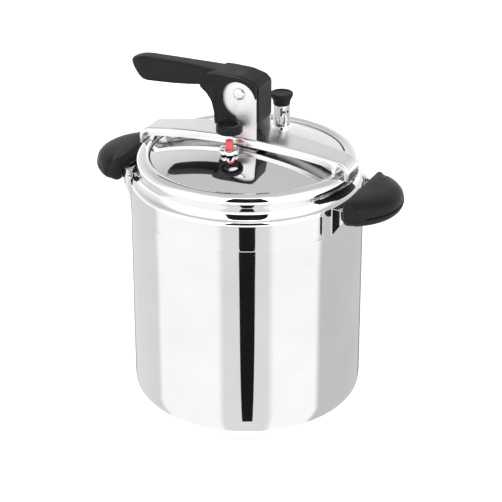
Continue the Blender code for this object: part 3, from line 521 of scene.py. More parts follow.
# ---- lid -----------------------------------------------------------------------------------------
def make_lid():
    z_edge = dome_z(LID_EDGE)
    wall = 0.001
    flange_z = z_edge - 0.0065
    radii = [0.0] + [LID_EDGE * (i / 30) for i in range(1, 30)]
    line = [(r, dome_z(r)) for r in radii]
    turn = 0.0013
    line += arc(LID_EDGE - 0.0002, z_edge - turn, turn, 82, 4, 7)
    foot = flange_z + turn
    line += arc(LID_EDGE + 0.0011 + turn, foot, turn, 180, 270, 6)
    line += [(0.1035, flange_z), (0.107, flange_z)]
    inner = offset(line, -wall)
    loop = line + inner[::-1]
    lid = scratch("lid_blank", *turn_grid(loop, TURN * 2))
    holes = [(PIN_X, PIN_Y, 0.0062), (REG_X, REG_Y, 0.0043), (-0.011, 0, 0.0028), (0.011, 0, 0.0028)]
    cutters = []
    for number, (x, y, r) in enumerate(holes):
        tool = [(0, CROWN - 0.03), (r, CROWN - 0.03), (r, CROWN + 0.01), (0, CROWN + 0.01)]
        cutters.append(scratch("lid_hole_%d" % number, *turn_grid(tool, 48, x, y)))
        boolean(lid, cutters[-1], "DIFFERENCE")
    mesh = baked(lid, cutters)
    thing = settle("lid_dome", mesh, LID_STEEL, "lid", ["lid_disc"], 55.0)
    dome_normals(thing.data)
    # the ring has to fall past the pot's narrow neck when the lever opens
    seal_in = 0.1006
    seal_out = NECK_IN - 0.0006
    crown = arc(RIM_C[0], RIM_C[1], RIM_R - WALL - 0.0008, 20, 118, 12)
    loop = [(seal_in, flange_z + 0.0004), (seal_out, flange_z + 0.0004)]
    loop += [(r, z) for r, z in crown if r < seal_out]
    loop += [(seal_in, loop[-1][1] - 0.001)]
    turned("lid_seal_ring", loop, SEAL, "lid", ["lid_gasket"], segments=TURN)


def dome_normals(mesh):
    """Give the dome's top its exact normals, so that its reflections stay clean round the holes."""
    centre = Vector((0, 0, CROWN - DOME_R))
    kept = [tuple(c.vector) for c in mesh.corner_normals]
    for poly in mesh.polygons:
        for corner in poly.loop_indices:
            co = mesh.vertices[mesh.loops[corner].vertex_index].co
            on_dome = abs((co - centre).length - DOME_R) < 2e-5
            if on_dome and poly.normal.z > 0.9 and co.xy.length < LID_EDGE - 0.002:
                kept[corner] = tuple((co - centre).normalized())
    mesh.normals_split_custom_set(kept)


# ---- crossbar ------------------------------------------------------------------------------------
FOOT_X = RIM_C[0]
BAR_WALL = 0.0015
SLOT_PLAY = 0.0006                  # room at each end of a slot


def bar_line():
    """Top line of the bar for x >= 0 as (x, z, slope)."""
    bend = 0.0125
    arch_end = BAR_END - bend
    drop = 0.010
    xs = [i * 0.001 for i in range(0, int(arch_end / 0.001))]
    slot_end = EAR_HALF + SLOT_PLAY
    xs += [slot_end - 0.0003, slot_end + 0.0003]
    for step in (-0.0040, -0.0035, -0.0030, -0.0022, -0.0012, 0.0):
        xs.append(FOOT_X + step)
    xs = sorted(x for x in set(xs) if 0 <= x <= arch_end)
    line = [(x, BAR_TOP - drop * (x / arch_end) ** 2, math.atan(2 * drop * x / arch_end ** 2))
            for x in xs]
    start = math.atan(2 * drop / arch_end)
    cx = arch_end - bend * math.sin(start)
    cz = BAR_TOP - drop - bend * math.cos(start)
    reach = BAR_END - cx
    for i in range(0, 31):
        t = start + (math.pi / 2 - start) * i / 30
        line.append((cx + reach * math.sin(t), cz + bend * math.cos(t), t))
    for z in np.linspace(cz, BAR_LOW, 6)[1:]:
        line.append((BAR_END, float(z), math.pi / 2))
    return line


def smooth_step(t):
    t = min(max(t, 0.0), 1.0)
    return t * t * (3 - 2 * t)


def bar_depth(x, z):
    """Depth of the side flange: a foot on the rim, a notch outside it, then the hooked tab."""
    flange = 0.0082
    foot = z - RIM_TOP - 0.0002
    narrow = 0.0018
    if x < FOOT_X - 0.006:
        return flange
    if x < FOOT_X - 0.004:
        return flange + (foot - flange) * smooth_step((x - FOOT_X + 0.006) / 0.002) * 0.35
    if x <= FOOT_X - narrow:
        return flange + (foot - flange) * (0.35 + 0.65 * smooth_step((x - FOOT_X + 0.004) / 0.0022))
    if x <= FOOT_X + narrow:
        return foot
    out = (x - FOOT_X - narrow) / 0.0012
    notch = 0.0042
    if out < 1:
        return foot + (notch - foot) * smooth_step(out)
    return notch


def make_bar():
    line = bar_line()
    bend = 0.0028
    corner_steps = 6
    taper_from = 0.037
    tip_half = 0.0145
    flat = 8
    rows_out = []
    rows_in = []
    stations = [(-x, z, -s) for x, z, s in line[:0:-1]] + line
    slot_in = EAR_OUT - EAR_WALL - GAP
    slot_out = EAR_OUT + GAP
    for x, z, slope in stations:
        ax, aslope = abs(x), abs(slope)
        side = -1 if x < 0 else 1
        half = BAR_HALF - (BAR_HALF - tip_half) * max(ax - taper_from, 0) / (BAR_END - taper_from)
        depth = bar_depth(ax, z)
        edge = min(bend, depth * 0.9)

        def ring(shift):
            """Section moved inwards by shift, as (across, up) points from one lip to the other."""
            radius = max(edge - shift, 0.0003)
            pts = [(-half + shift, -depth)]
            pts.append((-half + shift, (-edge - depth) / 2))
            pts += arc(-half + shift + radius, -edge + (edge - shift - radius), radius,
                       180, 90, corner_steps)
            top = pts[-1]
            for k in range(1, flat):
                pts.append((top[0] + (-2 * top[0]) * k / flat, -shift))
            pts += [(-a, b) for a, b in pts[:corner_steps + 3][::-1]]
            return pts

        for rows, shift in ((rows_out, 0.0), (rows_in, BAR_WALL)):
            rows.append([(side * (ax + b * math.sin(aslope)), a, z + b * math.cos(aslope))
                         for a, b in ring(shift)])
    keep = [[True] * (len(rows_out[0]) - 1) for _ in range(len(rows_out) - 1)]
    bar = scratch("bar_blank", *thick_grid(rows_out, rows_in, keep))
    reach = EAR_HALF + SLOT_PLAY
    cutters = []
    for number, side in enumerate((-1, 1)):
        low, high = sorted((side * slot_in, side * slot_out))
        outline = [(-reach, low), (reach, low), (reach, high), (-reach, high)]
        rings = [[(a, b, z) for a, b in outline] for z in (BAR_TOP - 0.012, BAR_TOP + 0.01)]
        cutters.append(scratch("bar_slot_%d" % number, *stack(rings)))
        boolean(bar, cutters[-1], "DIFFERENCE")
    mesh = baked(bar, cutters)
    thing = settle("arched_crossbar", mesh, BAR_STEEL, "crossbar", ["crossbar"], 42.0)
    edge_bevel(thing, 0.00025, 2, 50.0)


# ---- bracket, rivets and bushes ------------------------------------------------------------------
def make_bracket():
    """One bent strip: ear, web, ear, with round bends at the foot and a hole for the pivot."""
    top_r = 0.019
    centre = PIVOT_Z - EAR_DROP
    bend = 0.0024
    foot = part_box("lever_bracket")[0].z
    reach = math.degrees(math.acos(EAR_HALF / top_r))
    web_half = EAR_OUT - bend
    outline = arc(0, centre, top_r, reach, 180 - reach, 40)
    outline = [(-EAR_HALF, foot + bend), (EAR_HALF, foot + bend)] + outline
    ears = []
    for side in (-1, 1):
        low, high = sorted((side * (EAR_OUT - EAR_WALL), side * EAR_OUT))
        rings = slab(outline, low, high, 0.00035, lambda a, b, c: (a, c, b))
        ears.append(scratch("ear_%d" % side, *stack(rings)))
    blank, other_ear = ears
    boolean(blank, other_ear, "UNION")
    section = arc(web_half, foot + bend, bend, -90, 0, 6)
    section += [(EAR_OUT, foot + 0.004), (EAR_OUT - EAR_WALL, foot + 0.004)]
    section += arc(web_half, foot + bend, 0.0006, 0, -90, 4)
    full = [(-a, b) for a, b in section[::-1]] + section
    rings = [[(x, a, b) for a, b in full] for x in (-EAR_HALF, EAR_HALF)]
    web = scratch("bracket_web", *stack(rings))
    boolean(blank, web, "UNION")
    tools = [other_ear, web]
    rings = [[(a, y, PIVOT_Z + b) for a, b in circle(0.0033, 40)] for y in (-0.03, 0.03)]
    tools.append(scratch("pivot_hole", *stack(rings)))
    boolean(blank, tools[-1], "DIFFERENCE")
    mesh = baked(blank, tools)
    settle("ear_bracket", mesh, PLATE_STEEL, "lid", ["lever_bracket"], 38.0)


def y_turned(name, line, mat, body, nodes, segments=48):
    """Spin (radius, y) points about the pivot's axis."""
    verts, faces = turn_grid(line, segments)
    verts = [(x, z, PIVOT_Z + y) for x, y, z in verts]
    return piece(name, verts, faces, mat, body, nodes)


def make_pins():
    outer = EAR_OUT + GAP
    head = [(0.003, outer), (0.0058, outer), (0.0061, outer + 0.0004)]
    head += [(0.0061 * math.cos(t), outer + 0.0004 + 0.0016 * math.sin(t))
             for t in np.linspace(0.15, 1.25, 6)]
    head += [(0.0013, outer + 0.0019), (0.0010, outer + 0.0015), (0.0, outer + 0.0015)]
    line = [(r, -y) for r, y in head[::-1]] + head
    y_turned("pivot_rivet", line, FIT_STEEL, "lid", ["lever_pivot_rivet"])
    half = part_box("lever_bush")[1].y
    bush = [(0.0033, -half), (0.0046, -half), (0.0048, -half + 0.0002), (0.0048, half - 0.0002),
            (0.0046, half), (0.0033, half)]
    y_turned("pivot_bush", bush, TURNED, "lever", ["lever_bush"])
    for number in (1, 2):
        lo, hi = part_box("bracket_rivet_%d" % number)
        x = (lo.x + hi.x) / 2
        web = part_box("lever_bracket")[0].z + EAR_WALL + GAP
        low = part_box("lid_backing_plate")[0].z - GAP
        dome = [(0.0045 * math.cos(t), web + 0.0017 * math.sin(t))
                for t in np.linspace(math.pi / 2, 0, 8)]
        line = dome + [(0.0025, web), (0.0025, low)]
        line += [(0.0045 * math.cos(t), low - 0.0017 * math.sin(t))
                 for t in np.linspace(0, math.pi / 2, 8)]
        line[0] = (0.0, line[0][1])
        line[-1] = (0.0, line[-1][1])
        turned("bracket_rivet_head_%d" % number, line, FIT_STEEL, "lid", ["bracket_rivet_%d" % number],
               x, 0.0, 40)


# ---- lever ---------------------------------------------------------------------------------------
LEVER_TOP = 0.019
TIP = 0.130
PLATE_IN = EAR_OUT + 0.0004
CHEEK_WALL = 0.0034
PLATE_OUT = EAR_OUT + GAP + CHEEK_WALL


def grip_section(x, low, high, half, power):
    """Ring of the grip: crowned top, rounded edges."""
    points = []
    count = 40
    for i in range(count):
        a = 2 * math.pi * (i + 0.5) / count
        c, s = math.cos(a), math.sin(a)
        y = half * math.copysign(abs(c) ** power, c)
        z = (high + low) / 2 + (high - low) / 2 * math.copysign(abs(s) ** power, s)
        points.append((x, y, PIVOT_Z + z))
    return points


def make_lever():
    def tall(a, b, c):
        return (a, c, PIVOT_Z + b)

    low = LEVER_TOP - 0.024
    # (back from the tip, underside, top, share of the half width, squareness)
    stations = [(0.0002, 0.0100, 0.0128, 0.28, 0.8), (0.0018, 0.0076, 0.0146, 0.48, 0.7),
                (0.0050, 0.0030, 0.0164, 0.70, 0.6), (0.0100, -0.0030, 0.0180, 0.86, 0.55),
                (0.0145, low - 0.0016, 0.0187, 0.93, 0.5), (0.020, low - 0.0024, 0.0189, 0.98, 0.48),
                (0.032, low - 0.0016, LEVER_TOP, 1.0, 0.46),
                (0.050, low - 0.0004, LEVER_TOP + 0.0002, 1.02, 0.46),
                (0.068, low + 0.0016, LEVER_TOP + 0.0002, 1.06, 0.46),
                (0.082, low + 0.0040, LEVER_TOP, 1.14, 0.46),
                (TIP - 0.040, low + 0.0050, LEVER_TOP - 0.0003, 1.24, 0.44),
                (TIP - 0.030, low + 0.004, LEVER_TOP - 0.0008, 1.32, 0.42),
                (TIP - 0.018, low + 0.003, LEVER_TOP - 0.0022, 1.36, 0.42)]
    rings = [grip_section(back - TIP, a, b, 0.0115 * w, p) for back, a, b, w, p in stations]
    grip = scratch("grip", *stack(rings))

    block_half = EAR_OUT - EAR_WALL - GAP
    slope = FALL / TRAVEL
    cam = []
    for i in range(9):
        t = TRAVEL / 2 * i / 8
        height = PIVOT_ABOVE_BAR - GAP - slope * t
        cam.append((height * math.sin(t) - slope * math.cos(t),
                    -height * math.cos(t) - slope * math.sin(t)))
    roof = [(0.0203, 0.0085, 0.005), (0.0150, 0.0138, 0.008), (0.0, 0.0178, 0.03),
            (-0.020, 0.0184, 0.02)]
    block = rounded(cam + [(0.0182, -0.0305, 0.002), (0.0203, -0.028, 0.002)] + roof
                    + [(-0.030, 0.0182), (-0.024, -0.010, 0.006), (-0.018, -0.034, 0.004)])
    body = scratch("block", *stack(slab(block, -block_half, block_half, 0.0012, tall)))

    window = arc(0, -EAR_DROP, 0.0188, 12, 258, 48)
    drop = 0.036
    cheek = rounded([(0.0198, -0.0025), (0.0198, 0.0080, 0.0045), (0.0150, 0.0132, 0.008),
                     (0.0, 0.0174, 0.03),
                     (-0.020, 0.0182, 0.02), (-0.034, 0.0178, 0.01), (-0.045, 0.011, 0.01),
                     (-0.0425, 0.002, 0.004),
                     (-0.0355, -0.0035, 0.009), (-0.0300, -0.011, 0.012), (-0.0272, -0.022, 0.02),
                     (-0.0262, -drop + 0.0008, 0.001), (-0.0085, -drop + 0.0008, 0.001),
                     (-0.0035, -drop + 0.0094, 0.001)]
                    + window[::-1])
    plate = scratch("cheek", *stack(slab(cheek, -PLATE_OUT, -block_half + 0.0022, 0.0007, tall)))

    ring_low = PIVOT_Z - drop
    ring = rounded([(0, ring_low), (0.0135, ring_low, 0.0016), (0.0135, ring_low + 0.009, 0.0022),
                    (0.0, ring_low + 0.009)], closed=False)
    eye = scratch("eye", *turn_grid(ring, 72, PIN_X, PIN_Y))

    rib = rounded([(-0.0285, 0.006), (-0.0300, -0.008, 0.01), (-0.0268, -0.022, 0.01),
                   (-0.0262, -drop + 0.002),
                   (-0.0232, -drop + 0.002), (-0.0236, -0.022, 0.01), (-0.0250, -0.008, 0.01),
                   (-0.0225, 0.006)])
    rib = rib[::-1] if signed_area(rib) < 0 else rib
    ridge = scratch("ridge", *stack(slab(rib, -PLATE_OUT - 0.0006, -block_half, 0.0008, tall)))

    whole = grip
    for other in (body, plate, eye, ridge):
        boolean(whole, other, "UNION")
    remesh = whole.modifiers.new("one_moulding", "REMESH")
    remesh.mode = "VOXEL"
    remesh.voxel_size = 0.00062
    smooth = whole.modifiers.new("fillets", "SMOOTH")
    smooth.factor = 0.5
    smooth.iterations = 9

    clear = 0.0193
    normal = (math.cos(TRAVEL), math.sin(TRAVEL))
    stem = (math.sin(TRAVEL), -math.cos(TRAVEL))
    sweep = [(normal[0] * clear + stem[0] * 0.05, normal[1] * clear + stem[1] * 0.05)]
    sweep += arc(stem[0] * EAR_DROP, stem[1] * EAR_DROP, clear, 45, 112.5, 16)
    sweep += arc(0, -EAR_DROP, clear, 112.5, 180, 16) + [(-clear, -0.06), (0.05, -0.06)]
    rings = [[tall(a, b, y) for a, b in sweep] for y in (-PLATE_IN, -block_half + 0.0001)]
    room = scratch("ear_room", *stack(rings))
    hole = rounded([(0, ring_low - 0.003), (0.0098, ring_low - 0.003),
                    (0.0085, ring_low + 0.0006, 0.001),
                    (0.0085, ring_low + 0.0084, 0.001), (0.0096, ring_low + 0.0115),
                    (0, ring_low + 0.0115)], closed=False)
    eye_hole = scratch("eye_hole", *turn_grid(hole, 72, PIN_X, PIN_Y))
    bush_hole = scratch("bush_hole", *stack([[tall(a, b, y) for a, b in circle(0.0051, 48)]
                                             for y in (-0.0165, 0.03)]))
    for other in (room, eye_hole, bush_hole):
        boolean(whole, other, "DIFFERENCE")
    mesh = baked(whole, (body, plate, eye, ridge, room, eye_hole, bush_hole))
    settle("cam_lever", mesh, BLACK, "lever", ["lever_arm"], 50.0)


def signed_area(outline):
    return sum(a[0] * b[1] - b[0] * a[1] for a, b in zip(outline, outline[1:] + outline[:1])) / 2


# ---- indicator -----------------------------------------------------------------------------------
def make_indicator():
    lid_z = dome_z(math.hypot(PIN_X, PIN_Y))
    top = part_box("indicator_nut")[1].z
    radius = 0.011
    inner = 0.0062
    count = 96
    notches = 6
    outer = []
    section = [(inner, lid_z + 0.0004), (radius * 0.93, lid_z + 0.0004), (radius, lid_z + 0.0010),
               (radius, top - 0.0016), (radius - 0.0004, top - 0.0006), (radius - 0.0014, top - 0.0001),
               (radius - 0.0028, top), (inner + 0.0004, top), (inner, top - 0.0004)]
    for r, z in section:
        row = []
        for k in range(count):
            a = 2 * math.pi * k / count
            near = abs(((a * notches / (2 * math.pi)) % 1.0) - 0.5)
            cut = 0.0016 * smooth_step((0.16 - near) / 0.06) if r > inner + 0.001 else 0.0
            row.append((PIN_X + (r - cut) * math.cos(a), PIN_Y + (r - cut) * math.sin(a), z))
        outer.append(row)
    verts = [p for row in outer for p in row]
    faces = []
    rows = len(outer)
    for i in range(rows):
        faces += band(i, (i + 1) % rows, count)
    piece("indicator_nut_cap", verts, faces, FIT_STEEL, "lid", ["indicator_nut"],
          32.0)
    lo, hi = PIN_LO, PIN_HI
    r = 0.004
    stem_z = lid_z - 0.0097
    line = rounded([(0, lo.z), (0.0037, lo.z, 0.0003), (0.0037, lo.z + 0.0015, 0.0003),
                    (0.0015, lo.z + 0.0015),
                    (0.0015, stem_z), (r, stem_z, 0.0004), (r, hi.z - 0.0030, 0.0002),
                    (r - 0.00025, hi.z - 0.0028, 0.0001),
                    (r - 0.00025, hi.z - 0.0022, 0.0001), (r, hi.z - 0.0020, 0.0001), (r, hi.z, 0.0007),
                    (0.0022, hi.z, 0.0002), (0.0018, hi.z - 0.0004, 0.0002), (0, hi.z - 0.0004)],
                    closed=False)
    turned("pressure_pin", line, RED, "indicator", ["indicator_pin"], PIN_X, PIN_Y, 48)


# ---- regulator -----------------------------------------------------------------------------------
def make_regulator():
    lid_z = dome_z(math.hypot(REG_X, REG_Y))
    foot_top = lid_z + 0.0035
    lo, hi = REG_LO, REG_HI
    tip = lid_z + 0.017
    line = rounded([(0.0012, tip), (0.0020, tip), (0.0028, tip - 0.005), (0.0028, foot_top, 0.0004),
                    (0.0085, foot_top, 0.0006), (0.0095, foot_top - 0.0012, 0.0005),
                    (0.0095, lid_z + 0.0002, 0.0003),
                    (0.004, lid_z + 0.0002), (0.004, lid_z - 0.009), (0.0012, lid_z - 0.009)])
    turned("steam_nozzle", line, FIT_STEEL, "lid", ["regulator_nozzle"], REG_X,
           REG_Y, 64)
    r = 0.0085
    wall = 0.0012
    line = rounded([(0, hi.z), (r, hi.z, 0.0005), (r, lo.z + 0.0044, 0.003),
                    (r + 0.0013, lo.z + 0.0016, 0.001),
                    (r + 0.0013, lo.z, 0.0004), (r - wall, lo.z, 0.0003), (r - wall, hi.z - wall),
                    (0, hi.z - wall)],
                   closed=False)
    line = line[:1] + refine(line[1:-2], 0.0012) + line[-2:]
    sleeve = scratch("sleeve", *turn_grid(line, 72, REG_X, REG_Y))
    drills = []
    for number, turn in enumerate((-12.0, 20.0, 110.0)):
        z = hi.z - 0.0062
        a = math.radians(turn) - math.radians(39.5)
        out = Vector((math.cos(a), math.sin(a), 0))
        side = Vector((-math.sin(a), math.cos(a), 0))
        centre = Vector((REG_X, REG_Y, z))
        rings = [[tuple(centre + out * d + side * p + Vector((0, 0, q)))
                  for p, q in circle(0.00135, 24)] for d in (0.003, 0.02)]
        drills.append(scratch("steam_drill_%d" % number, *stack(rings)))
        boolean(sleeve, drills[-1], "DIFFERENCE")
    mesh = baked(sleeve, drills)
    settle("regulator_body", mesh, FIT_STEEL, "regulator", ["regulator_sleeve"], 35.0)
    low, high = KNOB_LO.z, KNOB_HI.z
    rim = 0.0118
    line = rounded([(0, high - 0.0010), (0.0086, high - 0.0008, 0.001), (0.0098, high, 0.0008),
                    (rim, high - 0.0004, 0.0010),
                    (rim - 0.0002, high - 0.0032, 0.001), (0.0090, low + 0.0036, 0.003),
                    (0.0087, low, 0.0005), (0, low)],
                   closed=False, steps=6)
    turned("regulator_knob_cap", line, BLACK, "regulator", ["regulator_knob"],
           REG_X, REG_Y, 72)


# ---- side handles --------------------------------------------------------------------------------
STRAP_WALL = 0.0015
SCREW_HOLE = 0.0023


def half_moon(back, half, radius, centre, corner):
    """Counter-clockwise plan of a grip at +X, with a flat back and rounded corners."""
    reach = math.degrees(math.asin(half / radius))
    curve = arc(centre, 0, radius, -reach, reach, 48)
    points = [(back, -half, corner)] + [(a, b) for a, b in curve] + [(back, half, corner)]
    points[1] = (*points[1][:2], 0.004)
    points[-2] = (*points[-2][:2], 0.004)
    return refine(rounded(points, steps=8), 0.0022, closed=True)


def make_grip(name, side):
    lo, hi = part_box(name + "_handle_grip")
    back = min(abs(lo.x), abs(hi.x))
    low, high = lo.z, hi.z
    half = hi.y
    plan = half_moon(back, half, 0.057, 0.112, 0.009)
    tall = high - low
    groove_z = low + tall * 0.42
    # (height, inset of the outline)
    levels = [(low, 0.0090), (low + 0.0006, 0.0062), (low + 0.0018, 0.0038), (low + 0.0036, 0.0019),
              (low + 0.0058, 0.0007), (low + 0.0080, 0.0002)]
    levels += [(groove_z - 0.0008, 0.0), (groove_z - 0.0007, 0.0003), (groove_z - 0.0006, 0.0016),
               (groove_z + 0.0004, 0.0016), (groove_z + 0.0005, 0.0006), (groove_z + 0.0006, 0.0003)]
    levels += [(groove_z + 0.0025, 0.0005), (low + tall * 0.66, 0.0014), (low + tall * 0.78, 0.0036),
               (low + tall * 0.88, 0.0072), (low + tall * 0.95, 0.0120),
               (low + tall * 0.985, 0.0170), (high, 0.0225)]
    rings = []
    for z, shift in levels:
        ring = []
        grooved = abs(z - groove_z) < 0.0009
        top_part = z > groove_z + 0.002
        moved = inset_soft(plan, shift, back, top_part)
        plain = inset_soft(plan, 0.0002, back, False)
        for (a, b), (pa, pb) in zip(moved, plain):
            if grooved and (pa < back + 0.012 or abs(pb) > half - 0.006):
                a, b = pa, pb
            ring.append((side * a, side * b, z))
        rings.append(ring)
    blank = scratch(name + "_grip_blank", *stack(rings))
    tools = []
    tab_lo, tab_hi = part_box(name + "_handle_bracket")
    tab_end = max(abs(tab_lo.x), abs(tab_hi.x)) + GAP
    pocket = [(back - 0.01, -0.0153), (tab_end, -0.0153), (tab_end, 0.0153), (back - 0.01, 0.0153)]
    pocket_top = low + GAP + STRAP_WALL + GAP
    tools.append(scratch(name + "_pocket",
                         *stack([[(side * a, side * b, z) for a, b in pocket]
                                 for z in (low - 0.01, pocket_top)])))
    boolean(blank, tools[-1], "DIFFERENCE")
    for number in (1, 2):
        s_lo, s_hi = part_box("%s_handle_screw_%d" % (name, number))
        x, y = mid_xy(s_lo, s_hi)
        end = s_hi.z + GAP
        drill = [(0, low - 0.01), (SCREW_HOLE, low - 0.01), (SCREW_HOLE, end), (0, end)]
        tools.append(scratch("%s_screw_hole_%d" % (name, number), *turn_grid(drill, 24, x, y)))
        boolean(blank, tools[-1], "DIFFERENCE")
    mesh = baked(blank, tools)
    settle(name + "_side_grip", mesh, BLACK, "pot", [name + "_handle_grip"], 48.0)


def inset_soft(plan, shift, back, top_part):
    """Move the plan inwards, less at its flat back, so that the top crowns towards the outside."""
    moved = inset(plan, shift)
    out = []
    for (a, b), (ma, mb) in zip(plan, moved):
        near_back = smooth_step(1 - (a - back) / 0.016)
        share = 1 - near_back * (0.82 if top_part else 0.55)
        out.append((a + (ma - a) * share, b + (mb - b) * share))
    return out


def make_strap(name, side):
    """Bent strap: a pad on the pot at each end, a leg out to the web, and the web behind the grip."""
    lo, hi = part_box(name + "_handle_bracket")
    pad_angle = math.degrees(math.asin(0.049 / BODY_R))
    pad_in = BODY_R + GAP
    wall = STRAP_WALL
    web_in = BODY_R + 0.0022
    z_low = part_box(name + "_handle_grip")[0].z + GAP
    z_high = z_low + 0.012
    low, high = pad_angle - 3.0, pad_angle + 3.0
    turn_y = pad_in * math.sin(math.radians(low))
    path = [(web_in, 0.0), (web_in, turn_y - 0.004)]
    bridge_end = (pad_in * math.cos(math.radians(low)), turn_y)
    path += [(web_in - (web_in - bridge_end[0]) * smooth_step(t), turn_y - 0.004 + 0.0045 * t)
             for t in (0.15, 0.3, 0.45, 0.6, 0.75, 0.9)]
    path += arc(0, 0, pad_in, low + 0.15, high, 10)
    half_in = refine(path, 0.0012)
    half_out = []
    for i, p in enumerate(half_in):
        a = Vector(half_in[max(i - 1, 0)])
        b = Vector(half_in[min(i + 1, len(half_in) - 1)])
        along = (b - a).normalized()
        half_out.append((p[0] + along.y * wall, p[1] - along.x * wall))
    inn = [(a, -b) for a, b in half_in[:0:-1]] + half_in
    out = [(a, -b) for a, b in half_out[:0:-1]] + half_out
    pad_low, pad_high = lo.z, hi.z
    rows_o, rows_i = [], []
    levels = 13
    for k in range(levels):
        row_o, row_i = [], []
        for (ox, oy), (ix, iy) in zip(out, inn):
            a = math.degrees(math.asin(min(abs(iy) / BODY_R, 1.0)))
            t = smooth_step((a - low + 2.2) / 2.4)
            z0 = z_low + (pad_low - z_low) * t
            z1 = z_high + (pad_high - z_high) * t
            end = max(0.0, (a - high + 2.0) / 2.0)
            corner = 0.004 * (1 - math.sqrt(max(0.0, 1 - min(end, 1.0) ** 2)))
            z = z0 + corner + (z1 - z0 - 2 * corner) * k / (levels - 1)
            row_o.append((side * ox, side * oy, z))
            row_i.append((side * ix, side * iy, z))
        rows_o.append(row_o)
        rows_i.append(row_i)
    keep = [[True] * (len(rows_o[0]) - 1) for _ in range(levels - 1)]
    strap = scratch(name + "_strap_blank", *thick_grid(rows_o, rows_i, keep))
    tab_end = max(abs(lo.x), abs(hi.x))
    tab = rounded([(web_in + 0.0002, -0.015), (tab_end, -0.015, 0.003),
                   (tab_end, 0.015, 0.003), (web_in + 0.0002, 0.015)])
    plate = scratch(name + "_tab", *stack([[(side * a, side * b, z) for a, b in tab]
                                           for z in (z_low, z_low + wall)]))
    boolean(strap, plate, "UNION")
    tools = [plate]
    for number in (1, 2):
        s_lo, s_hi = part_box("%s_handle_screw_%d" % (name, number))
        x, y = mid_xy(s_lo, s_hi)
        start, end = z_low - 0.005, z_low + 0.005
        drill = [(0, start), (SCREW_HOLE, start), (SCREW_HOLE, end), (0, end)]
        tools.append(scratch("%s_tab_hole_%d" % (name, number), *turn_grid(drill, 24, x, y)))
        boolean(strap, tools[-1], "DIFFERENCE")
    mesh = baked(strap, tools)
    thing = settle(name + "_strap", mesh, FIT_STEEL, "pot", [name + "_handle_bracket"],
                   35.0)
    edge_bevel(thing, 0.0003, 2, 50.0)
    for number in (1, 2):
        make_screw(name, number)


def make_screw(name, number):
    """Pan-head screw with a cross recess, pointing up into the grip."""
    node = "%s_handle_screw_%d" % (name, number)
    lo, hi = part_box(node)
    x, y = mid_xy(lo, hi)
    head = lo.z + 0.002
    line = [(0.0, lo.z)] + [(0.0036 * math.sin(t), head - 0.0020 * math.cos(t))
                            for t in np.linspace(0.15, 1.5, 9)]
    line += [(0.0036, head), (0.002, head)]
    turns = 14
    for k in range(turns):
        z = head + 0.0015 + (hi.z - head - 0.003) * k / turns
        line += [(0.0020, z), (0.0016, z + (hi.z - head - 0.003) / turns / 2)]
    line += [(0.0018, hi.z - 0.0012), (0.0006, hi.z), (0.0, hi.z)]
    blank = scratch(node + "_blank", *turn_grid(line, 32, x, y))
    tools = []
    for k, (a, b) in enumerate(((0.0019, 0.00035), (0.00035, 0.0019))):
        outline = [(x - a, y - b), (x + a, y - b), (x + a, y + b), (x - a, y + b)]
        tools.append(scratch(node + "_cross_%d" % k,
                             *stack([[(p, q, z) for p, q in outline]
                                     for z in (lo.z - 0.002, lo.z + 0.0010)])))
        boolean(blank, tools[-1], "DIFFERENCE")
    mesh = baked(blank, tools)
    settle(name + "_grip_screw_%d" % number, mesh, TURNED, "pot", [node], 35.0)


# ---- CAD nodes that stay, with better finishes -----------------------------------------------------
def dress_kept_nodes():
    finishes = {"base_core": ALUMINIUM, "lid_backing_plate": TURNED, "indicator_housing": TURNED,
                "indicator_seal": SEAL, "indicator_spring": TURNED, "regulator_seal": SEAL,
                "regulator_nut": TURNED, "regulator_weight": TURNED}
    for node, mat in finishes.items():
        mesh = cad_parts[node].data
        mesh.materials.clear()
        mesh.materials.append(mat)
        mesh.shade_smooth()
        mesh.set_sharp_from_angle(angle=math.radians(35))


# ---- stage -----------------------------------------------------------------------------------------
AZIMUTH = math.radians(25.5)        # the camera's place round the object
PITCH = math.radians(26.045)
AIM = Vector((0, 0, 0.156))
DISTANCE = 1.978
SHIFT_RIGHT, SHIFT_UP = 0.0039, 0.0178   # the camera's shift in its own picture plane
LENS = 134.69                       # millimetres, on a 36 mm sensor
SKY_STRENGTH = 1.6
# brightness against the sine of the height above the horizon
BACK_SKY = [(0.0, 0.66), (0.25, 0.60), (0.45, 0.52), (0.60, 0.42), (1.0, 0.44)]
FRONT_SKY = [(0.0, 1.0), (0.2, 1.0), (0.5, 1.0), (0.8, 0.9), (1.0, 0.42)]
# Grey zones of the table card: middle and half width in degrees round from the front, and brightness.
# The rest of the card is white, and the strip behind the object has one level.
GREY_ZONES = [(-2, 25, 0.74), (-150, 50, 0.70), (135, 60, 0.56)]
ZONE_FADE = 8.0
REAR_LEVEL = 0.80
CARD_STRENGTH = 1.16
CARD_START = BODY_R + 0.004
CARD_REACH = 1.1
CARD_HEIGHT = 0.0006
# the black flags between the object and the camera, one on the table and one standing
FLAG_START = BODY_R + 0.055
FLAG_END = 0.80
FLAG_HALF_WIDTHS = (0.010, 0.105)
STAND_DISTANCE = 0.75
STAND_HALF_WIDTH = 0.27
STAND_HEIGHTS = (0.42, 1.75)


def camera_frame():
    right = Vector((math.cos(AZIMUTH), math.sin(AZIMUTH), 0))
    back = Vector((math.sin(AZIMUTH) * math.cos(PITCH), -math.cos(AZIMUTH) * math.cos(PITCH),
                   math.sin(PITCH)))
    up = back.cross(right)
    return right, up, back, AIM + back * DISTANCE + right * SHIFT_RIGHT + up * SHIFT_UP


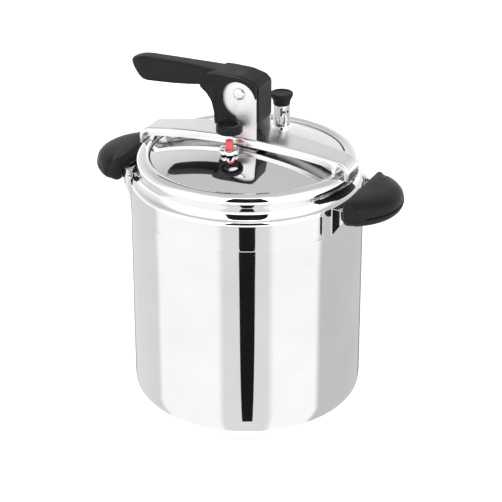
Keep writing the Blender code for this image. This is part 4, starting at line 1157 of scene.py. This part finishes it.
def glow_material(name, level):
    """Paper that is evenly bright; level None reads the mesh's own glow colours."""
    mat = bpy.data.materials.new(name)
    mat.use_nodes = True
    tree = mat.node_tree
    lamp = tree.nodes.new("ShaderNodeEmission")
    tree.links.new(lamp.outputs["Emission"], tree.nodes["Material Output"].inputs["Surface"])
    if level is None:
        read = tree.nodes.new("ShaderNodeAttribute")
        read.attribute_name = "glow"
        lamp.inputs["Strength"].default_value = CARD_STRENGTH
        tree.links.new(read.outputs["Color"], lamp.inputs["Color"])
    else:
        lamp.inputs["Color"].default_value = (level, level, level * 1.2, 1)
    return mat


def stage_mesh(name, verts, faces, mat):
    mesh = bpy.data.meshes.new(name)
    mesh.from_pydata(verts, [], faces)
    mesh.materials.append(mat)
    thing = bpy.data.objects.new(name, mesh)
    bpy.context.scene.collection.objects.link(thing)
    reflect_only(thing)
    return mesh


def toward(degrees):
    """The level direction that many degrees round from the camera's side."""
    angle = AZIMUTH + math.radians(degrees)
    return Vector((math.sin(angle), -math.cos(angle), 0))


def zone_level(degrees):
    level = 1.0
    for middle, half, grey in GREY_ZONES:
        away = abs((degrees - middle + 180) % 360 - 180)
        level += (grey - 1.0) * smooth_step((half - away) / ZONE_FADE + 0.5)
    return level


def card_spokes():
    """Straight spokes of the table card: start angle, direction and brightness, all round the pot."""
    spokes = [(turn / 2, turn, zone_level(turn)) for turn in range(-180, 181, 2)]
    for start in range(92, 269, 2):
        into = smooth_step(min(start - 90, 270 - start) / 15)
        spokes.append((start, 180, zone_level(180) * (1 - into) + REAR_LEVEL * into))
    return spokes


def table_card():
    """Pale paper round the pot, with soft grey zones whose edges run out straight."""
    spokes = card_spokes()
    count = len(spokes)
    lift = Vector((0, 0, CARD_HEIGHT))
    near = [toward(start) * CARD_START + lift for start, _, _ in spokes]
    far = [point + toward(turn) * CARD_REACH for point, (_, turn, _) in zip(near, spokes)]
    verts = [tuple(point) for point in near + far]
    faces = [(k, (k + 1) % count, count + (k + 1) % count, count + k) for k in range(count)]
    mesh = stage_mesh("table_card", verts, faces, glow_material("card_paper", None))
    colour = mesh.color_attributes.new("glow", "FLOAT_COLOR", "POINT")
    for k in range(2 * count):
        level = spokes[k % count][2]
        colour.data[k].color = (level, level, level, 1)


def reflect_only(thing):
    thing.visible_camera = False
    thing.visible_shadow = False
    thing.visible_diffuse = False


def black_flags():
    """Black cloth before the object: a tapering strip on the table and a standing panel."""
    cloth = glow_material("black_cloth", 0.012)
    ahead = toward(0)
    side = Vector((math.cos(AZIMUTH), math.sin(AZIMUTH), 0))
    lift = Vector((0, 0, 2 * CARD_HEIGHT))
    strip = []
    for reach, half in zip((FLAG_START, FLAG_END), FLAG_HALF_WIDTHS):
        strip += [tuple(ahead * reach + side * half * sign + lift) for sign in (-1, 1)]
    stage_mesh("table_flag", strip, [(0, 1, 3, 2)], cloth)
    panel = []
    for height in STAND_HEIGHTS:
        panel += [tuple(ahead * STAND_DISTANCE + side * STAND_HALF_WIDTH * sign + Vector((0, 0,
                                                                                          height)))
                  for sign in (-1, 1)]
    stage_mesh("standing_flag", panel, [(0, 1, 3, 2)], cloth)


def make_stage():
    size = 9.0
    mesh = bpy.data.meshes.new("floor")
    mesh.from_pydata([(-size, -size, 0), (size, -size, 0), (size, size, 0), (-size, size, 0)], [],
                     [(0, 1, 2, 3)])
    floor = bpy.data.objects.new("floor", mesh)
    bpy.context.scene.collection.objects.link(floor)
    m = Nodes("floor_paper")
    m.feed("Base Color", m.ramp(m.noise(3.0), [(0.3, (0.90, 0.90, 0.90)), (0.7, (0.92, 0.92, 0.92))]))
    m.put(Roughness=0.9)
    m.shader.inputs["Specular IOR Level"].default_value = 0.0
    m.shader.inputs["Emission Color"].default_value = (1, 1, 1, 1)
    m.shader.inputs["Emission Strength"].default_value = 0.35
    mesh.materials.append(m.mat)


def make_sky():
    """A paper tent: bright towards the front, grey and darker high up behind."""
    world = bpy.data.worlds.new("tent")
    bpy.context.scene.world = world
    world.use_nodes = True
    tree = world.node_tree
    back = tree.nodes["Background"]
    place = tree.nodes.new("ShaderNodeTexCoord").outputs["Generated"]

    def ramp(value, stops):
        node = tree.nodes.new("ShaderNodeValToRGB")
        elements = node.color_ramp.elements
        while len(elements) < len(stops):
            elements.new(0.5)
        for element, (position, level) in zip(elements, stops):
            element.position = position
            element.color = (level, level * 0.992, level * 0.985, 1)
        tree.links.new(value, node.inputs["Fac"])
        return node.outputs["Color"]

    split = tree.nodes.new("ShaderNodeSeparateXYZ")
    tree.links.new(place, split.inputs["Vector"])
    rear = ramp(split.outputs["Z"], BACK_SKY)
    front = ramp(split.outputs["Z"], FRONT_SKY)
    facing = tree.nodes.new("ShaderNodeVectorMath")
    facing.operation = "DOT_PRODUCT"
    facing.inputs[1].default_value = (math.sin(AZIMUTH), -math.cos(AZIMUTH), 0)
    tree.links.new(place, facing.inputs[0])
    share = tree.nodes.new("ShaderNodeMapRange")
    share.interpolation_type = "SMOOTHSTEP"
    share.inputs["From Min"].default_value = -0.25
    share.inputs["From Max"].default_value = 0.30
    tree.links.new(facing.outputs["Value"], share.inputs["Value"])
    mix = tree.nodes.new("ShaderNodeMix")
    mix.data_type = "RGBA"
    tree.links.new(share.outputs["Result"], mix.inputs["Factor"])
    tree.links.new(rear, mix.inputs["A"])
    tree.links.new(front, mix.inputs["B"])
    tree.links.new(mix.outputs["Result"], back.inputs["Color"])
    back.inputs["Strength"].default_value = SKY_STRENGTH


def make_light():
    data = bpy.data.lights.new("key", "SUN")
    data.energy = 0.7
    data.angle = math.radians(35)
    key = bpy.data.objects.new("key", data)
    bpy.context.scene.collection.objects.link(key)
    key.rotation_euler = (math.radians(28), math.radians(18), 0)


def make_camera():
    right, up, back, place = camera_frame()
    data = bpy.data.cameras.new("camera")
    data.sensor_width = 36.0
    data.lens = LENS
    data.clip_end = 50.0
    camera = bpy.data.objects.new("camera", data)
    camera.matrix_world = Matrix((
        (right.x, up.x, back.x, place.x),
        (right.y, up.y, back.y, place.y),
        (right.z, up.z, back.z, place.z),
        (0, 0, 0, 1)))
    bpy.context.scene.collection.objects.link(camera)
    bpy.context.scene.camera = camera


def main():
    make_camera()
    make_sky()
    make_stage()
    table_card()
    black_flags()
    make_light()
    bpy.context.scene.view_settings.view_transform = "Standard"
    make_pot()
    make_lid()
    make_bar()
    make_bracket()
    make_pins()
    make_lever()
    make_indicator()
    make_regulator()
    for name, side in (("right", 1), ("left", -1)):
        make_grip(name, side)
        make_strap(name, side)
    dress_kept_nodes()


main()
